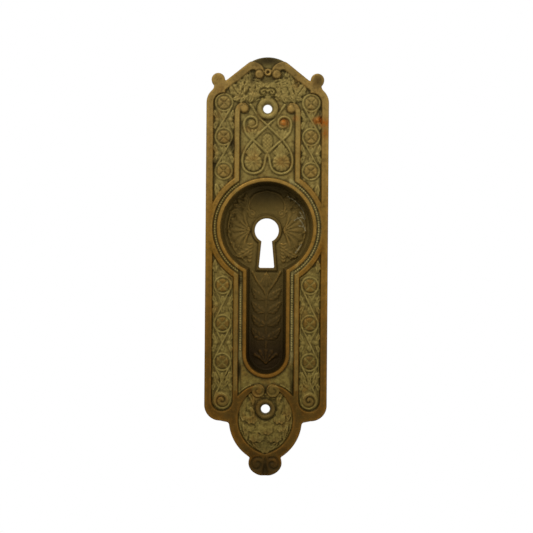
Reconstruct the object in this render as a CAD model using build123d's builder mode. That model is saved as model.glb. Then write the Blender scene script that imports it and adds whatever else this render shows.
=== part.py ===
from build123d import *
import os
from math import acos, atan2, cos, pi, radians, sin, sqrt, tan

# A cast pocket door plate with a keyhole-shaped finger cup and raised ornament.
# The back face lies in the XZ plane, the front faces -Y and Z is up.
# The origin is on the back face, midway between the two screws.

# Plate: the ground is the level of the sunk fields, and ornament is rooted below it
GROUND = 2.2
STRAP_RISE = 1.2
BORDER = 3.05
EDGE_BEVEL = 0.4
ROOT = 0.6

# Screws
SCREW_PITCH = 134.0
SCREW_HOLE = 4.0
SCREW_HEAD = 7.0
SCREW_ANGLE = 82.0
TOP_BOSS = 9.6
BOTTOM_BOSS = 8.8
BOSS_RISE = 1.3

# Finger cup, round above and a slot below
CUP_Z = 13.8
CUP_RADIUS = 20.7
SLOT_WIDTH = 17.8
SLOT_LENGTH = 56.4
CUP_DEPTH = 10.0
CUP_DRAFT = 7.0
CUP_WALL = 1.7
RIM = 1.55
BEAD_CHANNEL = 2.0
BEAD_CORD = 1.0
BEAD_RISE = 0.55
STRAP = 2.2

# Keyhole in the cup floor
KEYHOLE_DROP = 0.8
KEYHOLE_RADIUS = 5.45
KEYHOLE_NECK = 3.9
KEYHOLE_FOOT = 6.9
KEYHOLE_LENGTH = 17.0
LIP = 1.6
LIP_RISE = 0.8

# Crown, measured up from the top screw
CROWN_RISE = 23.0
CROWN_RADIUS = 15.2
SHOULDER_RISE = 2.5
SHOULDER_RADIUS = 7.5
FLANK_DROP = 0.43
EAR_RISE = 2.7
EAR_INSET = 5.2
EAR_RADIUS = 3.0
EAR_NECK = 3.8
NOTCH = 0.7
VOLUTE_X = 5.6
VOLUTE_RISE = 17.0
VOLUTE_RADIUS = 3.55
HOLLOW_X = 6.4
HOLLOW_RISE = 13.2
HOLLOW_RADIUS = 4.2
VOLUTE_FLARE = 2.2
BALL_X = 3.9
BALL_RISE = 15.1
BALL_RADIUS = 2.0
CROWN_RING_RISE = 16.1
CROWN_RING = 1.75
CROWN_RING_HOLE = 0.65

# Hooks that end the upper straps beside the top screw
HOOK_RADIUS = 1.55
HOOK_BALL = 1.9

# Foot, measured from the bottom screw
CORNER_RISE = 1.8
CORNER_RADIUS = 7.0
BASE_DROP = 6.6
PANEL_END_RISE = 3.8
SHIELD_DROP = 4.6
SHIELD_RADIUS = 19.75
SHIELD_OFFSET = 3.46
SHIELD_BAND = 4.0
ARM_RISE = 5.8
ARM_BOW = 0.9
SCROLL_X = 3.3
SCROLL_RISE = 8.2
SCROLL_RADIUS = 2.9
FINIAL_DROP = 24.0
FINIAL_WIDTH = 14.8
FINIAL_HEIGHT = 11.4
CLEFT_RISE = 3.4
CLEFT_WIDTH = 2.6

# Small rounds of the ornament are drawn with this many sides
FACETS = 12

# Rosettes and vines of the side panels
ROSETTE_RADIUS = 3.4
ROSETTE_PETALS = 4
ROSETTE_DISC = 0.45
PETAL_RISE = 1.15
PETAL_FULLNESS = 0.75
VINE = 0.9
VINE_RISE = 0.75
VINE_RING = 4.2
UPPER_ROSETTES = 3
UPPER_MARGIN = 7.4
LOWER_ROSETTES = 4
LOWER_MARGIN = 7.8
SPIRAL_EYE = 1.7

# Leaves: how far the broadest point lies from the root, and the rise of the ridge there
LEAF_BELLY = 0.42
LEAF_RISE = 0.95
BUD_LENGTH = 3.6
BUD_WIDTH = 1.9
BUD_SPREAD = 3.2
BUD_LEAN = 20.0
TIP_LEAF = (5.0, 2.6)
TIP_LEAF_X = 2.9
TIP_LEAF_GAP = 1.6
TIP_LEAF_LEAN = 6.0

# Top centre panel: the flowers are measured up from the cup rim, the rest down from the top screw
FLOWER_X = 6.4
FLOWER_GAP = 7.0
FLOWER_RADIUS = 3.8
FLOWER_PETALS = 8
FLOWER_RING = 4.6
CURL_X = 7.1
CURL_DROP = 6.5
CURL_RADIUS = 3.5
CURL_BALL = 1.8
STEM_X = 7.4
STEM_RISE = 1.4
STEM_POINT_X = 0.6
STEM_POINT_DROP = 19.4

# Leaves beside the centre line: x, distance from the screw, lean from upright, length and width
CROWN_LEAVES = [
    (5.4, 12.2, 163, 9.6, 4.8),
    (12.4, 5.4, -14, 10.6, 4.8),
    (12.6, 5.6, 38, 7.0, 4.6),
    (12.4, 5.2, 98, 3.6, 2.6),
]
SHIELD_LEAVES = [
    (7.4, 9.4, 171, 14.4, 4.8),
    (5.8, 0.4, 6, 6.6, 2.8),
    (10.2, -5.4, 254, 7.4, 3.4),
    (1.6, -8.4, 107, 7.2, 3.0),
    (8.4, -10.8, 240, 8.0, 3.2),
    (5.4, -16.2, 256, 4.8, 2.2),
    (0.0, -19.0, 0, 13.4, 6.0),
]
CENTRE_LEAVES = [
    (6.4, -13.8, 2, 4.6, 3.0),
    (6.2, -13.6, 34, 4.2, 2.0),
    (6.6, -13.6, -32, 4.2, 2.0),
    (0.0, -11.2, 180, 9.2, 5.2),
]
TWIN_CURL_X = 1.8
TWIN_CURL_RISE = 7.3
TWIN_CURL = 1.5

# Palmettes, each with its leaves, spread, length and width: beside the keyhole, at both ends of the
# slot floor and above the top screw
FLOOR_FAN = (7, 150.0, 10.4, 3.4)
FLOOR_FAN_GAP = 0.6
SLOT_FAN = (5, 104.0, 9.6, 3.0)
SLOT_FAN_MARGIN = 5.0
SLOT_PAIRS = 3
SLOT_PAIR_PITCH = 6.4
SLOT_PAIR_LEAF = (0.5, 46.0, 7.4, 2.8)
CROWN_FAN = (7, 156.0, 8.2, 3.2)

# Derived places
TOP_SCREW_Z = SCREW_PITCH / 2
BOTTOM_SCREW_Z = -SCREW_PITCH / 2
FACE = GROUND + STRAP_RISE
FRAME_RADIUS = CUP_RADIUS + RIM + BEAD_CHANNEL
HALF_WIDTH = FRAME_RADIUS + BORDER
STRAP_INNER = SLOT_WIDTH / 2 + RIM + BEAD_CHANNEL
STRAP_OUTER = STRAP_INNER + STRAP
PANEL_X = (FRAME_RADIUS + STRAP_OUTER) / 2
PANEL_HALF = (FRAME_RADIUS - STRAP_OUTER) / 2
SLOT_END_Z = CUP_Z - SLOT_LENGTH
FLOOR_Y = CUP_DEPTH - FACE
DRAFT_SLOPE = tan(radians(CUP_DRAFT))
CROWN_Z = TOP_SCREW_Z + CROWN_RISE - CROWN_RADIUS
SHOULDER_Z = TOP_SCREW_Z + SHOULDER_RISE
EAR_X = HALF_WIDTH - EAR_INSET
EAR_Z = SHOULDER_Z + SHOULDER_RADIUS + EAR_RISE
FLANK_FOOT = (EAR_X, SHOULDER_Z + SHOULDER_RADIUS - FLANK_DROP)
FLANK_REACH = sqrt(FLANK_FOOT[0] ** 2 + (FLANK_FOOT[1] - CROWN_Z) ** 2)
FLANK_TURN = atan2(FLANK_FOOT[1] - CROWN_Z, FLANK_FOOT[0]) + acos(CROWN_RADIUS / FLANK_REACH)
CROWN_SLOPE = pi / 2 - FLANK_TURN
VOLUTE_Z = TOP_SCREW_Z + VOLUTE_RISE
HOLLOW_Z = TOP_SCREW_Z + HOLLOW_RISE
BALL_Z = TOP_SCREW_Z + BALL_RISE
CROWN_RING_Z = TOP_SCREW_Z + CROWN_RING_RISE
CORNER_Z = BOTTOM_SCREW_Z + CORNER_RISE
BASE_Z = BOTTOM_SCREW_Z - BASE_DROP
PANEL_END_Z = BOTTOM_SCREW_Z + PANEL_END_RISE
SHIELD_Z = BOTTOM_SCREW_Z - SHIELD_DROP
SCROLL_Z = BOTTOM_SCREW_Z + SCROLL_RISE
FINIAL_Z = BOTTOM_SCREW_Z - FINIAL_DROP
FLOWER_Z = CUP_Z + CUP_RADIUS + RIM + FLOWER_GAP
CURL_Z = TOP_SCREW_Z - CURL_DROP
PANEL_TIP = sqrt((FRAME_RADIUS + STRAP) ** 2 - PANEL_X**2)
UPPER_LAST_Z = CUP_Z + PANEL_TIP + UPPER_MARGIN
UPPER_PITCH = (SHOULDER_Z - UPPER_LAST_Z) / (UPPER_ROSETTES - 1)
LOWER_FIRST_Z = CUP_Z - PANEL_TIP - LOWER_MARGIN
LOWER_PITCH = (LOWER_FIRST_Z - PANEL_END_Z) / (LOWER_ROSETTES - 1)
UPPER_ROWS = [SHOULDER_Z - UPPER_PITCH * row for row in range(UPPER_ROSETTES)]
LOWER_ROWS = [LOWER_FIRST_Z - LOWER_PITCH * row for row in range(LOWER_ROSETTES)]
SIDES = (-1, 1)


def both_sides(x, z):
    """A place and its mirror image about the centre line."""
    return [(side * x, z) for side in SIDES]


def body_profile(inset):
    """The plate without ears, shield or finial, drawn inset from its outline."""
    half = HALF_WIDTH - inset
    shoulder = SHOULDER_RADIUS - inset
    corner = CORNER_RADIUS - inset
    crown = CROWN_RADIUS - inset
    tangent = (crown * sin(CROWN_SLOPE), CROWN_Z + crown * cos(CROWN_SLOPE))
    flank_end = (EAR_X, tangent[1] - (EAR_X - tangent[0]) * tan(CROWN_SLOPE))
    shoulder_top = (half - shoulder, SHOULDER_Z + shoulder)
    side_top = (half, SHOULDER_Z)
    side_foot = (half, CORNER_Z)
    foot = (half - corner, CORNER_Z - corner)
    notch = (SHIELD_RADIUS - SHIELD_OFFSET - BORDER, BASE_Z + inset)
    with BuildSketch() as profile:
        with BuildLine():
            Line((0, shoulder_top[1]), shoulder_top)
            RadiusArc(shoulder_top, side_top, shoulder)
            Line(side_top, side_foot)
            RadiusArc(side_foot, foot, corner)
            Polyline(foot, notch, (0, notch[1]))
            mirror(about=Plane.YZ)
        make_face()
        with BuildLine():
            inner = (0, SHOULDER_Z)
            outer = (flank_end[0], SHOULDER_Z)
            Polyline(inner, (0, tangent[1]), tangent, flank_end, outer, close=True)
        make_face()
        mirror(about=Plane.YZ)
        with Locations((0, CROWN_Z)):
            Circle(crown)
    return profile.sketch


def shield_profile(band):
    """The pointed oval of the shield, drawn inside a band along its edge."""
    with BuildSketch() as profile:
        with Locations((-SHIELD_OFFSET, SHIELD_Z)):
            Circle(SHIELD_RADIUS - band)
        with Locations((SHIELD_OFFSET, SHIELD_Z)):
            Circle(SHIELD_RADIUS - band, mode=Mode.INTERSECT)
    return profile.sketch


def outline_profile():
    """The whole outline of the plate."""
    with BuildSketch() as profile:
        add(body_profile(0))
        add(shield_profile(0))
        with Locations((0, FINIAL_Z)):
            Ellipse(FINIAL_WIDTH / 2, FINIAL_HEIGHT / 2)
        with Locations(*both_sides(EAR_X, EAR_Z)):
            Circle(EAR_RADIUS)
        with Locations(*both_sides(EAR_X, EAR_Z - EAR_RADIUS)):
            Rectangle(EAR_NECK, 2 * EAR_RADIUS)
    return profile.sketch


def cup_profile(grow):
    """The keyhole shape of the finger cup, grown outwards."""
    with BuildSketch() as profile:
        with Locations((0, CUP_Z)):
            Circle(CUP_RADIUS + grow)
        with Locations((0, CUP_Z - SLOT_LENGTH / 2)):
            Rectangle(SLOT_WIDTH + 2 * grow, SLOT_LENGTH)
        with Locations((0, SLOT_END_Z)):
            Circle(SLOT_WIDTH / 2 + grow)
    return profile.sketch


def bead_profile():
    """The row of fine beads in the channel along each side of the cup, drawn as a plain cord."""
    middle = RIM + BEAD_CHANNEL / 2
    with BuildSketch() as profile:
        add(cup_profile(middle + BEAD_CORD / 2))
        add(cup_profile(middle - BEAD_CORD / 2), mode=Mode.SUBTRACT)
        with Locations((0, CUP_Z + FRAME_RADIUS)):
            Rectangle(2 * STRAP_INNER, 2 * FRAME_RADIUS, mode=Mode.SUBTRACT)
        with Locations((0, SLOT_END_Z - SLOT_WIDTH)):
            Rectangle(2 * STRAP_OUTER, 2 * SLOT_WIDTH, mode=Mode.SUBTRACT)
    return profile.sketch


def keyhole_profile(grow):
    """The keyhole, or the shape of its lip."""
    centre_z = CUP_Z - KEYHOLE_DROP
    foot_z = centre_z - KEYHOLE_LENGTH - grow
    neck = KEYHOLE_NECK / 2 + grow
    foot = KEYHOLE_FOOT / 2 + grow
    with BuildSketch() as profile:
        with Locations((0, centre_z)):
            Circle(KEYHOLE_RADIUS + grow)
        with BuildLine():
            Polyline((-neck, centre_z), (neck, centre_z), (foot, foot_z), (-foot, foot_z), close=True)
        make_face()
    return profile.sketch


def crown_volutes():
    """The two arms of the crown, which curl down to a ball each side of a small ring."""
    with BuildSketch() as profile:
        with Locations(*both_sides(VOLUTE_X, VOLUTE_Z)):
            Circle(VOLUTE_RADIUS)
        with Locations(*both_sides(HOLLOW_X, HOLLOW_Z)):
            Circle(HOLLOW_RADIUS, mode=Mode.SUBTRACT)
        with Locations(*both_sides(BALL_X, BALL_Z)):
            Circle(BALL_RADIUS)
        with Locations((0, CROWN_RING_Z)):
            RegularPolygon(CROWN_RING, FACETS)
            RegularPolygon(CROWN_RING_HOLE, FACETS, mode=Mode.SUBTRACT)
    return profile.sketch


def scroll_arms():
    """What stands between the shield and the lower centre field: two arms that end in scrolls."""
    scroll_top = (SCROLL_X, SCROLL_Z + SCROLL_RADIUS)
    arm_end = (STRAP_INNER, BOTTOM_SCREW_Z + ARM_RISE)
    middle = ((scroll_top[0] + arm_end[0]) / 2, (scroll_top[1] + arm_end[1]) / 2)
    run = sqrt((arm_end[0] - scroll_top[0]) ** 2 + (arm_end[1] - scroll_top[1]) ** 2)
    across = ((scroll_top[1] - arm_end[1]) / run, (arm_end[0] - scroll_top[0]) / run)
    bow = (middle[0] + ARM_BOW * across[0], middle[1] + ARM_BOW * across[1])
    with BuildSketch() as profile:
        with BuildLine():
            ThreePointArc(scroll_top, bow, arm_end)
            Polyline(arm_end, (STRAP_INNER, SHIELD_Z), (0, SHIELD_Z), (SCROLL_X, SCROLL_Z), scroll_top)
        make_face()
        mirror(about=Plane.YZ)
    return profile.sketch


def finial_cleft():
    """The groove that parts the two lobes of the finial."""
    foot_z = FINIAL_Z - FINIAL_HEIGHT / 2 - EDGE_BEVEL
    with BuildSketch() as profile:
        with BuildLine():
            tip = (0, FINIAL_Z + CLEFT_RISE)
            Polyline(tip, (CLEFT_WIDTH / 2, foot_z), (-CLEFT_WIDTH / 2, foot_z), close=True)
        make_face()
    return profile.sketch


def strap_profile():
    """The straps inside the sunk fields: the cup frame, the upper bars with their hooks and the scrolls."""
    bar_x = (STRAP_INNER + STRAP_OUTER) / 2
    bar_length = TOP_SCREW_Z - CUP_Z
    with BuildSketch() as profile:
        with Locations((0, CUP_Z)):
            Circle(FRAME_RADIUS + STRAP)
        with Locations(*both_sides(bar_x, CUP_Z + bar_length / 2)):
            Rectangle(STRAP, bar_length)
        with Locations((0, CUP_Z)):
            Circle(FRAME_RADIUS, mode=Mode.SUBTRACT)
            Rectangle(2 * STRAP_INNER, 4 * FRAME_RADIUS, mode=Mode.SUBTRACT)
        with Locations(*both_sides(bar_x - HOOK_RADIUS, TOP_SCREW_Z)):
            Circle(HOOK_RADIUS + STRAP / 2)
        with Locations(*both_sides(STRAP_INNER - STRAP, TOP_SCREW_Z - STRAP)):
            Rectangle(2 * STRAP, 2 * STRAP, mode=Mode.SUBTRACT)
        with Locations(*both_sides(bar_x - 2 * HOOK_RADIUS, TOP_SCREW_Z)):
            Circle(HOOK_BALL)
        with Locations(*both_sides(SCROLL_X, SCROLL_Z)):
            Circle(SCROLL_RADIUS)
        add(crown_volutes())
    return profile.sketch


def crown_fan():
    """The sunk fan at the top of the crown, between the two arms."""
    flare = (VOLUTE_X + VOLUTE_FLARE, CROWN_Z + CROWN_RADIUS)
    with BuildSketch() as profile:
        with BuildLine():
            shoulder = (VOLUTE_X, VOLUTE_Z + VOLUTE_RADIUS)
            Polyline((0, VOLUTE_Z), (VOLUTE_X, VOLUTE_Z), shoulder, flare, (0, flare[1]), close=True)
        make_face()
        mirror(about=Plane.YZ)
    return profile.sketch


def field_profile():
    """The sunk fields between the straps."""
    panel_length = CUP_Z - PANEL_END_Z
    with BuildSketch() as profile:
        add(body_profile(BORDER))
        with Locations((0, CUP_Z - SCREW_PITCH)):
            Rectangle(2 * HALF_WIDTH, 2 * SCREW_PITCH, mode=Mode.SUBTRACT)
        with Locations(*both_sides(PANEL_X, CUP_Z - panel_length / 2)):
            Rectangle(2 * PANEL_HALF, panel_length)
        with Locations(*both_sides(PANEL_X, PANEL_END_Z)):
            Circle(PANEL_HALF)
        with Locations((0, (CUP_Z + SHIELD_Z) / 2)):
            Rectangle(2 * STRAP_INNER, CUP_Z - SHIELD_Z)
        add(scroll_arms(), mode=Mode.SUBTRACT)
        add(shield_profile(SHIELD_BAND))
        add(finial_cleft())
        add(crown_fan())
        with Locations((0, CUP_Z)):
            Circle(FRAME_RADIUS)
        add(strap_profile(), mode=Mode.SUBTRACT)
    return profile.sketch


def ring(radius):
    """A ring of vine about the origin."""
    with BuildSketch() as loop:
        RegularPolygon(radius + VINE / 2, FACETS)
        RegularPolygon(radius - VINE / 2, FACETS, mode=Mode.SUBTRACT)
    return loop.sketch


def stem(*points):
    """A run of vine through some points."""
    with BuildSketch() as run:
        with BuildLine():
            Polyline(*points)
        trace(line_width=VINE)
    return run.sketch


def vine_profile():
    """Rings, stems, twin curls and spiral eyes of the vines: the right half, then its mirror image."""
    flower_top = FLOWER_Z + FLOWER_RING
    with BuildSketch() as profile:
        for rows in (UPPER_ROWS, LOWER_ROWS):
            with Locations(*[(PANEL_X, z) for z in rows]):
                add(ring(VINE_RING))
            for above, below in zip(rows, rows[1:]):
                lean = 2 * VINE_RING / (above - below)
                drop = VINE_RING * lean
                side = VINE_RING * sqrt(1 - lean**2)
                add(stem((PANEL_X - side, above - drop), (PANEL_X + side, below + drop)))
        with Locations((FLOWER_X, FLOWER_Z)):
            add(ring(FLOWER_RING))
        with Locations((CURL_X, CURL_Z)):
            add(ring(CURL_RADIUS))
        add(
            stem(
                (-STEM_X, TOP_SCREW_Z + STEM_RISE),
                (CURL_X, flower_top + VINE_RING),
                (FLOWER_X + VINE_RING, flower_top),
                (FLOWER_X + FLOWER_RING, FLOWER_Z),
            )
        )
        curl_foot = (CURL_X + CURL_RADIUS, CURL_Z)
        curl_bend = (CURL_X, flower_top + VINE_RING)
        add(stem(curl_foot, curl_bend, (STEM_POINT_X, TOP_SCREW_Z - STEM_POINT_DROP)))
        with Locations((TWIN_CURL_X, TOP_SCREW_Z + TWIN_CURL_RISE)):
            RegularPolygon(TWIN_CURL, FACETS)
        with Locations((PANEL_X, PANEL_END_Z)):
            RegularPolygon(SPIRAL_EYE, FACETS)
        mirror(about=Plane.YZ)
    return profile.sketch


def disc_profile():
    """Flat rounds of the ornament: rosettes, flowers, curls and the spiral ends of the panels."""
    with BuildSketch() as profile:
        rosettes = [(PANEL_X, z) for z in UPPER_ROWS + LOWER_ROWS]
        with Locations(*rosettes):
            RegularPolygon(ROSETTE_RADIUS, FACETS)
        with Locations((FLOWER_X, FLOWER_Z)):
            RegularPolygon(FLOWER_RADIUS, FACETS)
        with Locations((CURL_X, CURL_Z)):
            RegularPolygon(CURL_BALL, FACETS)
        mirror(about=Plane.YZ)
    return profile.sketch


def leaf(length, width, rise, belly):
    """A ridged leaf on the ground: its root is at the origin, its tip up Z and its ridge towards -Y."""
    with BuildPart(mode=Mode.PRIVATE) as blade:
        with BuildSketch(Plane.XZ) as foot:
            with BuildLine():
                broad = belly * length
                Polyline((0, 0), (width / 2, broad), (0, length), (-width / 2, broad), close=True)
            make_face()
        extrude(amount=-ROOT)
        loft([foot.sketch.faces()[0], Vertex(0, -rise, broad)])
    return blade.part


def placed(solid, x, level, z, lean):
    """A motif moved to its place on a surface and leaned from the upright."""
    return solid.moved(Location((x, -level, z), (0, lean, 0)))


def sprig(leaves, level, base_z):
    """Leaves on both sides of the centre line, and single ones on it."""
    solids = []
    for x, rise, lean, length, width in leaves:
        blade = leaf(length, width, LEAF_RISE, LEAF_BELLY)
        for side in SIDES if x else SIDES[:1]:
            solids.append(placed(blade, side * x, level, base_z + rise, side * lean))
    return solids


def palmette(x, level, z, lean, fan):
    """A fan of leaves from one root."""
    count, spread, length, width = fan
    blade = leaf(length, width, LEAF_RISE, LEAF_BELLY)
    step = spread / (count - 1)
    return [placed(blade, x, level, z, lean - spread / 2 + step * i) for i in range(count)]


def slot_leaves(top_z):
    """Pairs of leaves up the middle of the slot floor, between its two palmettes."""
    x, lean, length, width = SLOT_PAIR_LEAF
    middle_z = (top_z + SLOT_END_Z - SLOT_FAN_MARGIN) / 2
    first = -SLOT_PAIR_PITCH * SLOT_PAIRS / 2
    rows = [first + SLOT_PAIR_PITCH * row for row in range(SLOT_PAIRS)]
    return sprig([(x, rise, lean, length, width) for rise in rows], -FLOOR_Y, middle_z)


def petals(x, z, radius, count):
    """The petals of a round flower on its disc."""
    width = PETAL_FULLNESS * 2 * radius * sin(radians(180 / count))
    blade = leaf(radius, width, PETAL_RISE - ROSETTE_DISC, 1 - LEAF_BELLY)
    return [placed(blade, x, GROUND + ROSETTE_DISC, z, 360 / count * i) for i in range(count)]


def panel_leaves():
    """Petals of the rosettes, the buds in the gaps between them and the leaves in the panel tips."""
    solids = []
    bud = leaf(BUD_LENGTH, BUD_WIDTH, LEAF_RISE, LEAF_BELLY)
    tip = leaf(*TIP_LEAF, LEAF_RISE, LEAF_BELLY)
    tip_x = PANEL_X + TIP_LEAF_X
    tip_reach = PANEL_TIP + TIP_LEAF_GAP
    for side in SIDES:
        for z in UPPER_ROWS + LOWER_ROWS[:-1]:
            solids += petals(side * PANEL_X, z, ROSETTE_RADIUS, ROSETTE_PETALS)
        solids += petals(side * FLOWER_X, FLOWER_Z, FLOWER_RADIUS, FLOWER_PETALS)
        solids.append(placed(tip, side * tip_x, GROUND, CUP_Z + tip_reach, side * (180 - TIP_LEAF_LEAN)))
        solids.append(placed(tip, side * tip_x, GROUND, CUP_Z - tip_reach, side * TIP_LEAF_LEAN))
        for rows in (UPPER_ROWS, LOWER_ROWS):
            for above, below in zip(rows, rows[1:]):
                middle = (above + below) / 2
                inner = side * (PANEL_X - BUD_SPREAD)
                outer = side * (PANEL_X + BUD_SPREAD)
                solids.append(placed(bud, inner, GROUND, middle, side * (180 - BUD_LEAN)))
                solids.append(placed(bud, outer, GROUND, middle, -side * BUD_LEAN))
    return solids


def round_pocket(near_y, near_radius, far_y):
    """Half section of the round part of the cup, which tapers with the draft."""
    far_radius = near_radius - (far_y - near_y) * DRAFT_SLOPE
    with BuildSketch(Plane.XY.offset(CUP_Z)) as section:
        with BuildLine():
            Polyline((0, near_y), (near_radius, near_y), (far_radius, far_y), (0, far_y), close=True)
        make_face()
    return section.sketch


def slot_profile(grow):
    """The slot part of the finger cup, grown outwards."""
    with BuildSketch() as profile:
        with Locations((0, CUP_Z - SLOT_LENGTH / 2)):
            Rectangle(SLOT_WIDTH + 2 * grow, SLOT_LENGTH)
        with Locations((0, SLOT_END_Z)):
            Circle(SLOT_WIDTH / 2 + grow)
    return profile.sketch


with BuildPart() as door_plate:
    # Slab with its bevelled edge and sunk fields
    with BuildSketch(Plane.XZ):
        add(outline_profile())
    extrude(amount=FACE)
    corners = door_plate.edges().filter_by(Axis.Y)
    ear_notches = corners.filter_by_position(Axis.Z, SHOULDER_Z, EAR_Z, (False, False))
    foot_notches = corners.filter_by_position(Axis.Z, FINIAL_Z, CORNER_Z - CORNER_RADIUS, (False, False))
    fillet(ear_notches + foot_notches, NOTCH)
    chamfer(door_plate.faces().sort_by(Axis.Y)[0].edges(), EDGE_BEVEL)
    with BuildSketch(Plane.XZ.offset(FACE)):
        add(field_profile())
    extrude(amount=-STRAP_RISE, mode=Mode.SUBTRACT)

    # Rim of the cup and the screw bosses
    with BuildSketch(Plane.XZ.offset(GROUND - ROOT)):
        add(cup_profile(RIM))
    extrude(amount=STRAP_RISE + ROOT)
    with BuildSketch(Plane.XZ.offset(GROUND - ROOT)):
        with Locations((0, TOP_SCREW_Z)):
            Circle(TOP_BOSS / 2)
        with Locations((0, BOTTOM_SCREW_Z)):
            Circle(BOTTOM_BOSS / 2)
    extrude(amount=BOSS_RISE + ROOT)

    # Raised ornament on the sunk fields
    with BuildSketch(Plane.XZ.offset(GROUND - ROOT)):
        add(vine_profile())
    extrude(amount=VINE_RISE + ROOT)
    with BuildSketch(Plane.XZ.offset(GROUND - ROOT)):
        add(bead_profile())
    extrude(amount=BEAD_RISE + ROOT)
    with BuildSketch(Plane.XZ.offset(GROUND - ROOT)):
        add(disc_profile())
    extrude(amount=ROSETTE_DISC + ROOT)
    add(panel_leaves())
    add(sprig(CROWN_LEAVES, GROUND, TOP_SCREW_Z))
    add(sprig(CENTRE_LEAVES, GROUND, TOP_SCREW_Z))
    add(sprig(SHIELD_LEAVES, GROUND, BOTTOM_SCREW_Z))
    add(palmette(0, GROUND, TOP_SCREW_Z + TOP_BOSS / 2, 0, CROWN_FAN))

    # Cup behind the plate and its pocket
    cup_axis = Axis((0, 0, CUP_Z), (0, 1, 0))
    back_grow = CUP_WALL - FACE * DRAFT_SLOPE
    revolve(round_pocket(0, CUP_RADIUS + back_grow, FLOOR_Y + CUP_WALL), cup_axis)
    with BuildSketch(Plane.XZ):
        add(slot_profile(back_grow))
    extrude(amount=-(FLOOR_Y + CUP_WALL), taper=CUP_DRAFT)
    revolve(round_pocket(-FACE, CUP_RADIUS, FLOOR_Y), cup_axis, mode=Mode.SUBTRACT)
    with BuildSketch(Plane.XZ.offset(FACE)):
        add(slot_profile(0))
    extrude(amount=-CUP_DEPTH, taper=CUP_DRAFT, mode=Mode.SUBTRACT)

    # Ornament of the cup floor, then the keyhole with its lip
    keyhole_z = CUP_Z - KEYHOLE_DROP
    fan_x = KEYHOLE_RADIUS + LIP + FLOOR_FAN_GAP
    slot_top_z = keyhole_z - KEYHOLE_LENGTH - LIP
    for side in SIDES:
        add(palmette(side * fan_x, -FLOOR_Y, keyhole_z, side * 90, FLOOR_FAN))
    add(palmette(0, -FLOOR_Y, slot_top_z, 180, SLOT_FAN))
    add(palmette(0, -FLOOR_Y, SLOT_END_Z - SLOT_FAN_MARGIN, 0, SLOT_FAN))
    add(slot_leaves(slot_top_z))
    with BuildSketch(Plane.XZ.offset(-FLOOR_Y - ROOT)):
        add(keyhole_profile(LIP))
    extrude(amount=LIP_RISE + ROOT)
    with BuildSketch(Plane.XZ.offset(-FLOOR_Y)):
        add(keyhole_profile(0))
    extrude(amount=2 * CUP_WALL, both=True, mode=Mode.SUBTRACT)

    # Countersunk screw holes
    with Locations(Plane.XZ.offset(GROUND + BOSS_RISE)):
        with Locations((0, TOP_SCREW_Z), (0, BOTTOM_SCREW_Z)):
            CounterSinkHole(SCREW_HOLE / 2, SCREW_HEAD / 2, counter_sink_angle=SCREW_ANGLE)

door_plate.part.label = "door_plate"
os.makedirs("parts", exist_ok=True)
export_step(door_plate.part, "parts/door_plate.step")
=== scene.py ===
from math import acos, asin, atan2, cos, hypot, pi, radians, sin, sqrt, tan

import bmesh
import bpy
import numpy as np
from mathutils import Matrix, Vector
from mathutils.geometry import delaunay_2d_cdt


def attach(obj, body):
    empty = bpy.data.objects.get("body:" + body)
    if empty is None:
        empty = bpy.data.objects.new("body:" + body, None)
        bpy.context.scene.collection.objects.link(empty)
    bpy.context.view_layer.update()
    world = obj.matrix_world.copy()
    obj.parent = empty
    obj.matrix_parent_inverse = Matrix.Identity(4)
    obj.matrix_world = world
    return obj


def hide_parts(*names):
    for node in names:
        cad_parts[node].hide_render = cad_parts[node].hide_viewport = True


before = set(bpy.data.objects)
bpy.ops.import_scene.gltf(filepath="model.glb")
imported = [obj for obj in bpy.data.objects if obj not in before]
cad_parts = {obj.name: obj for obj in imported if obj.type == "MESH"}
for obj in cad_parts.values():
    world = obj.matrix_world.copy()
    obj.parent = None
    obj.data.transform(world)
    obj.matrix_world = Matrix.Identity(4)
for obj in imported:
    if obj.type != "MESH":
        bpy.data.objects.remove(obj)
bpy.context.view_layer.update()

# The plate is worked out in millimetres: x to the right, z up, and height towards the front
MM = 0.001

# Plate
LOW_END = -97.0
LENGTH = 187.0
GROUND = 2.2
FACE = 3.4
BORDER = 3.05
HALF_WIDTH = 27.3
EDGE_ROUND = 0.5
BACK_ROUND = 0.2

# Screws
TOP_SCREW = (0.0, 67.0)
BOTTOM_SCREW = (0.0, -67.0)
SCREWS = (TOP_SCREW, BOTTOM_SCREW)
SCREW_HOLE = 2.0
SCREW_HEAD = 3.5
COUNTERSINK = 1.73
HEAD_LIP = 0.48
HEAD_LIP_DROP = 0.16
TOP_BOSS = 4.8
BOTTOM_BOSS = 4.4
BOSS_RISE = 1.3

# Finger cup
CUP_Z = 13.8
CUP_RADIUS = 20.7
SLOT_HALF = 8.9
SLOT_END_Z = -42.6
FLOOR = 6.6
CUP_WALL = 1.7
DRAFT = tan(radians(7.0))
FLOOR_FILLET = 0.45
RIM = 1.55
RIM_ROUND = 0.22
BEAD_CHANNEL = 2.0
FRAME_RADIUS = CUP_RADIUS + RIM + BEAD_CHANNEL
STRAP = 2.2
STRAP_INNER = 12.45
CUP_BACK = FLOOR + CUP_WALL
BACK_GROW = CUP_WALL - FACE * DRAFT

# Keyhole
KEY_CENTRE = (0.0, 13.0)
KEY_RADIUS = 5.45
KEY_NECK = 1.95
KEY_FOOT = 3.45
KEY_FOOT_Z = -4.0
KEY_CORNER = 0.6
LIP = 1.6
LIP_RISE = 0.8
LIP_EDGE = 0.35
LIP_GROOVE = 0.25

# Crown and ears
CROWN_Z = 74.8
CROWN_RADIUS = 15.2
CROWN_SLOPE = radians(38.7)
SHOULDER_TOP = 77.0
SHOULDER_RADIUS = 7.5
EAR = (22.1, 79.7)
EAR_RADIUS = 3.0
EAR_NECK = 1.9
NOTCH_BLEND = 1.0

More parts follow.
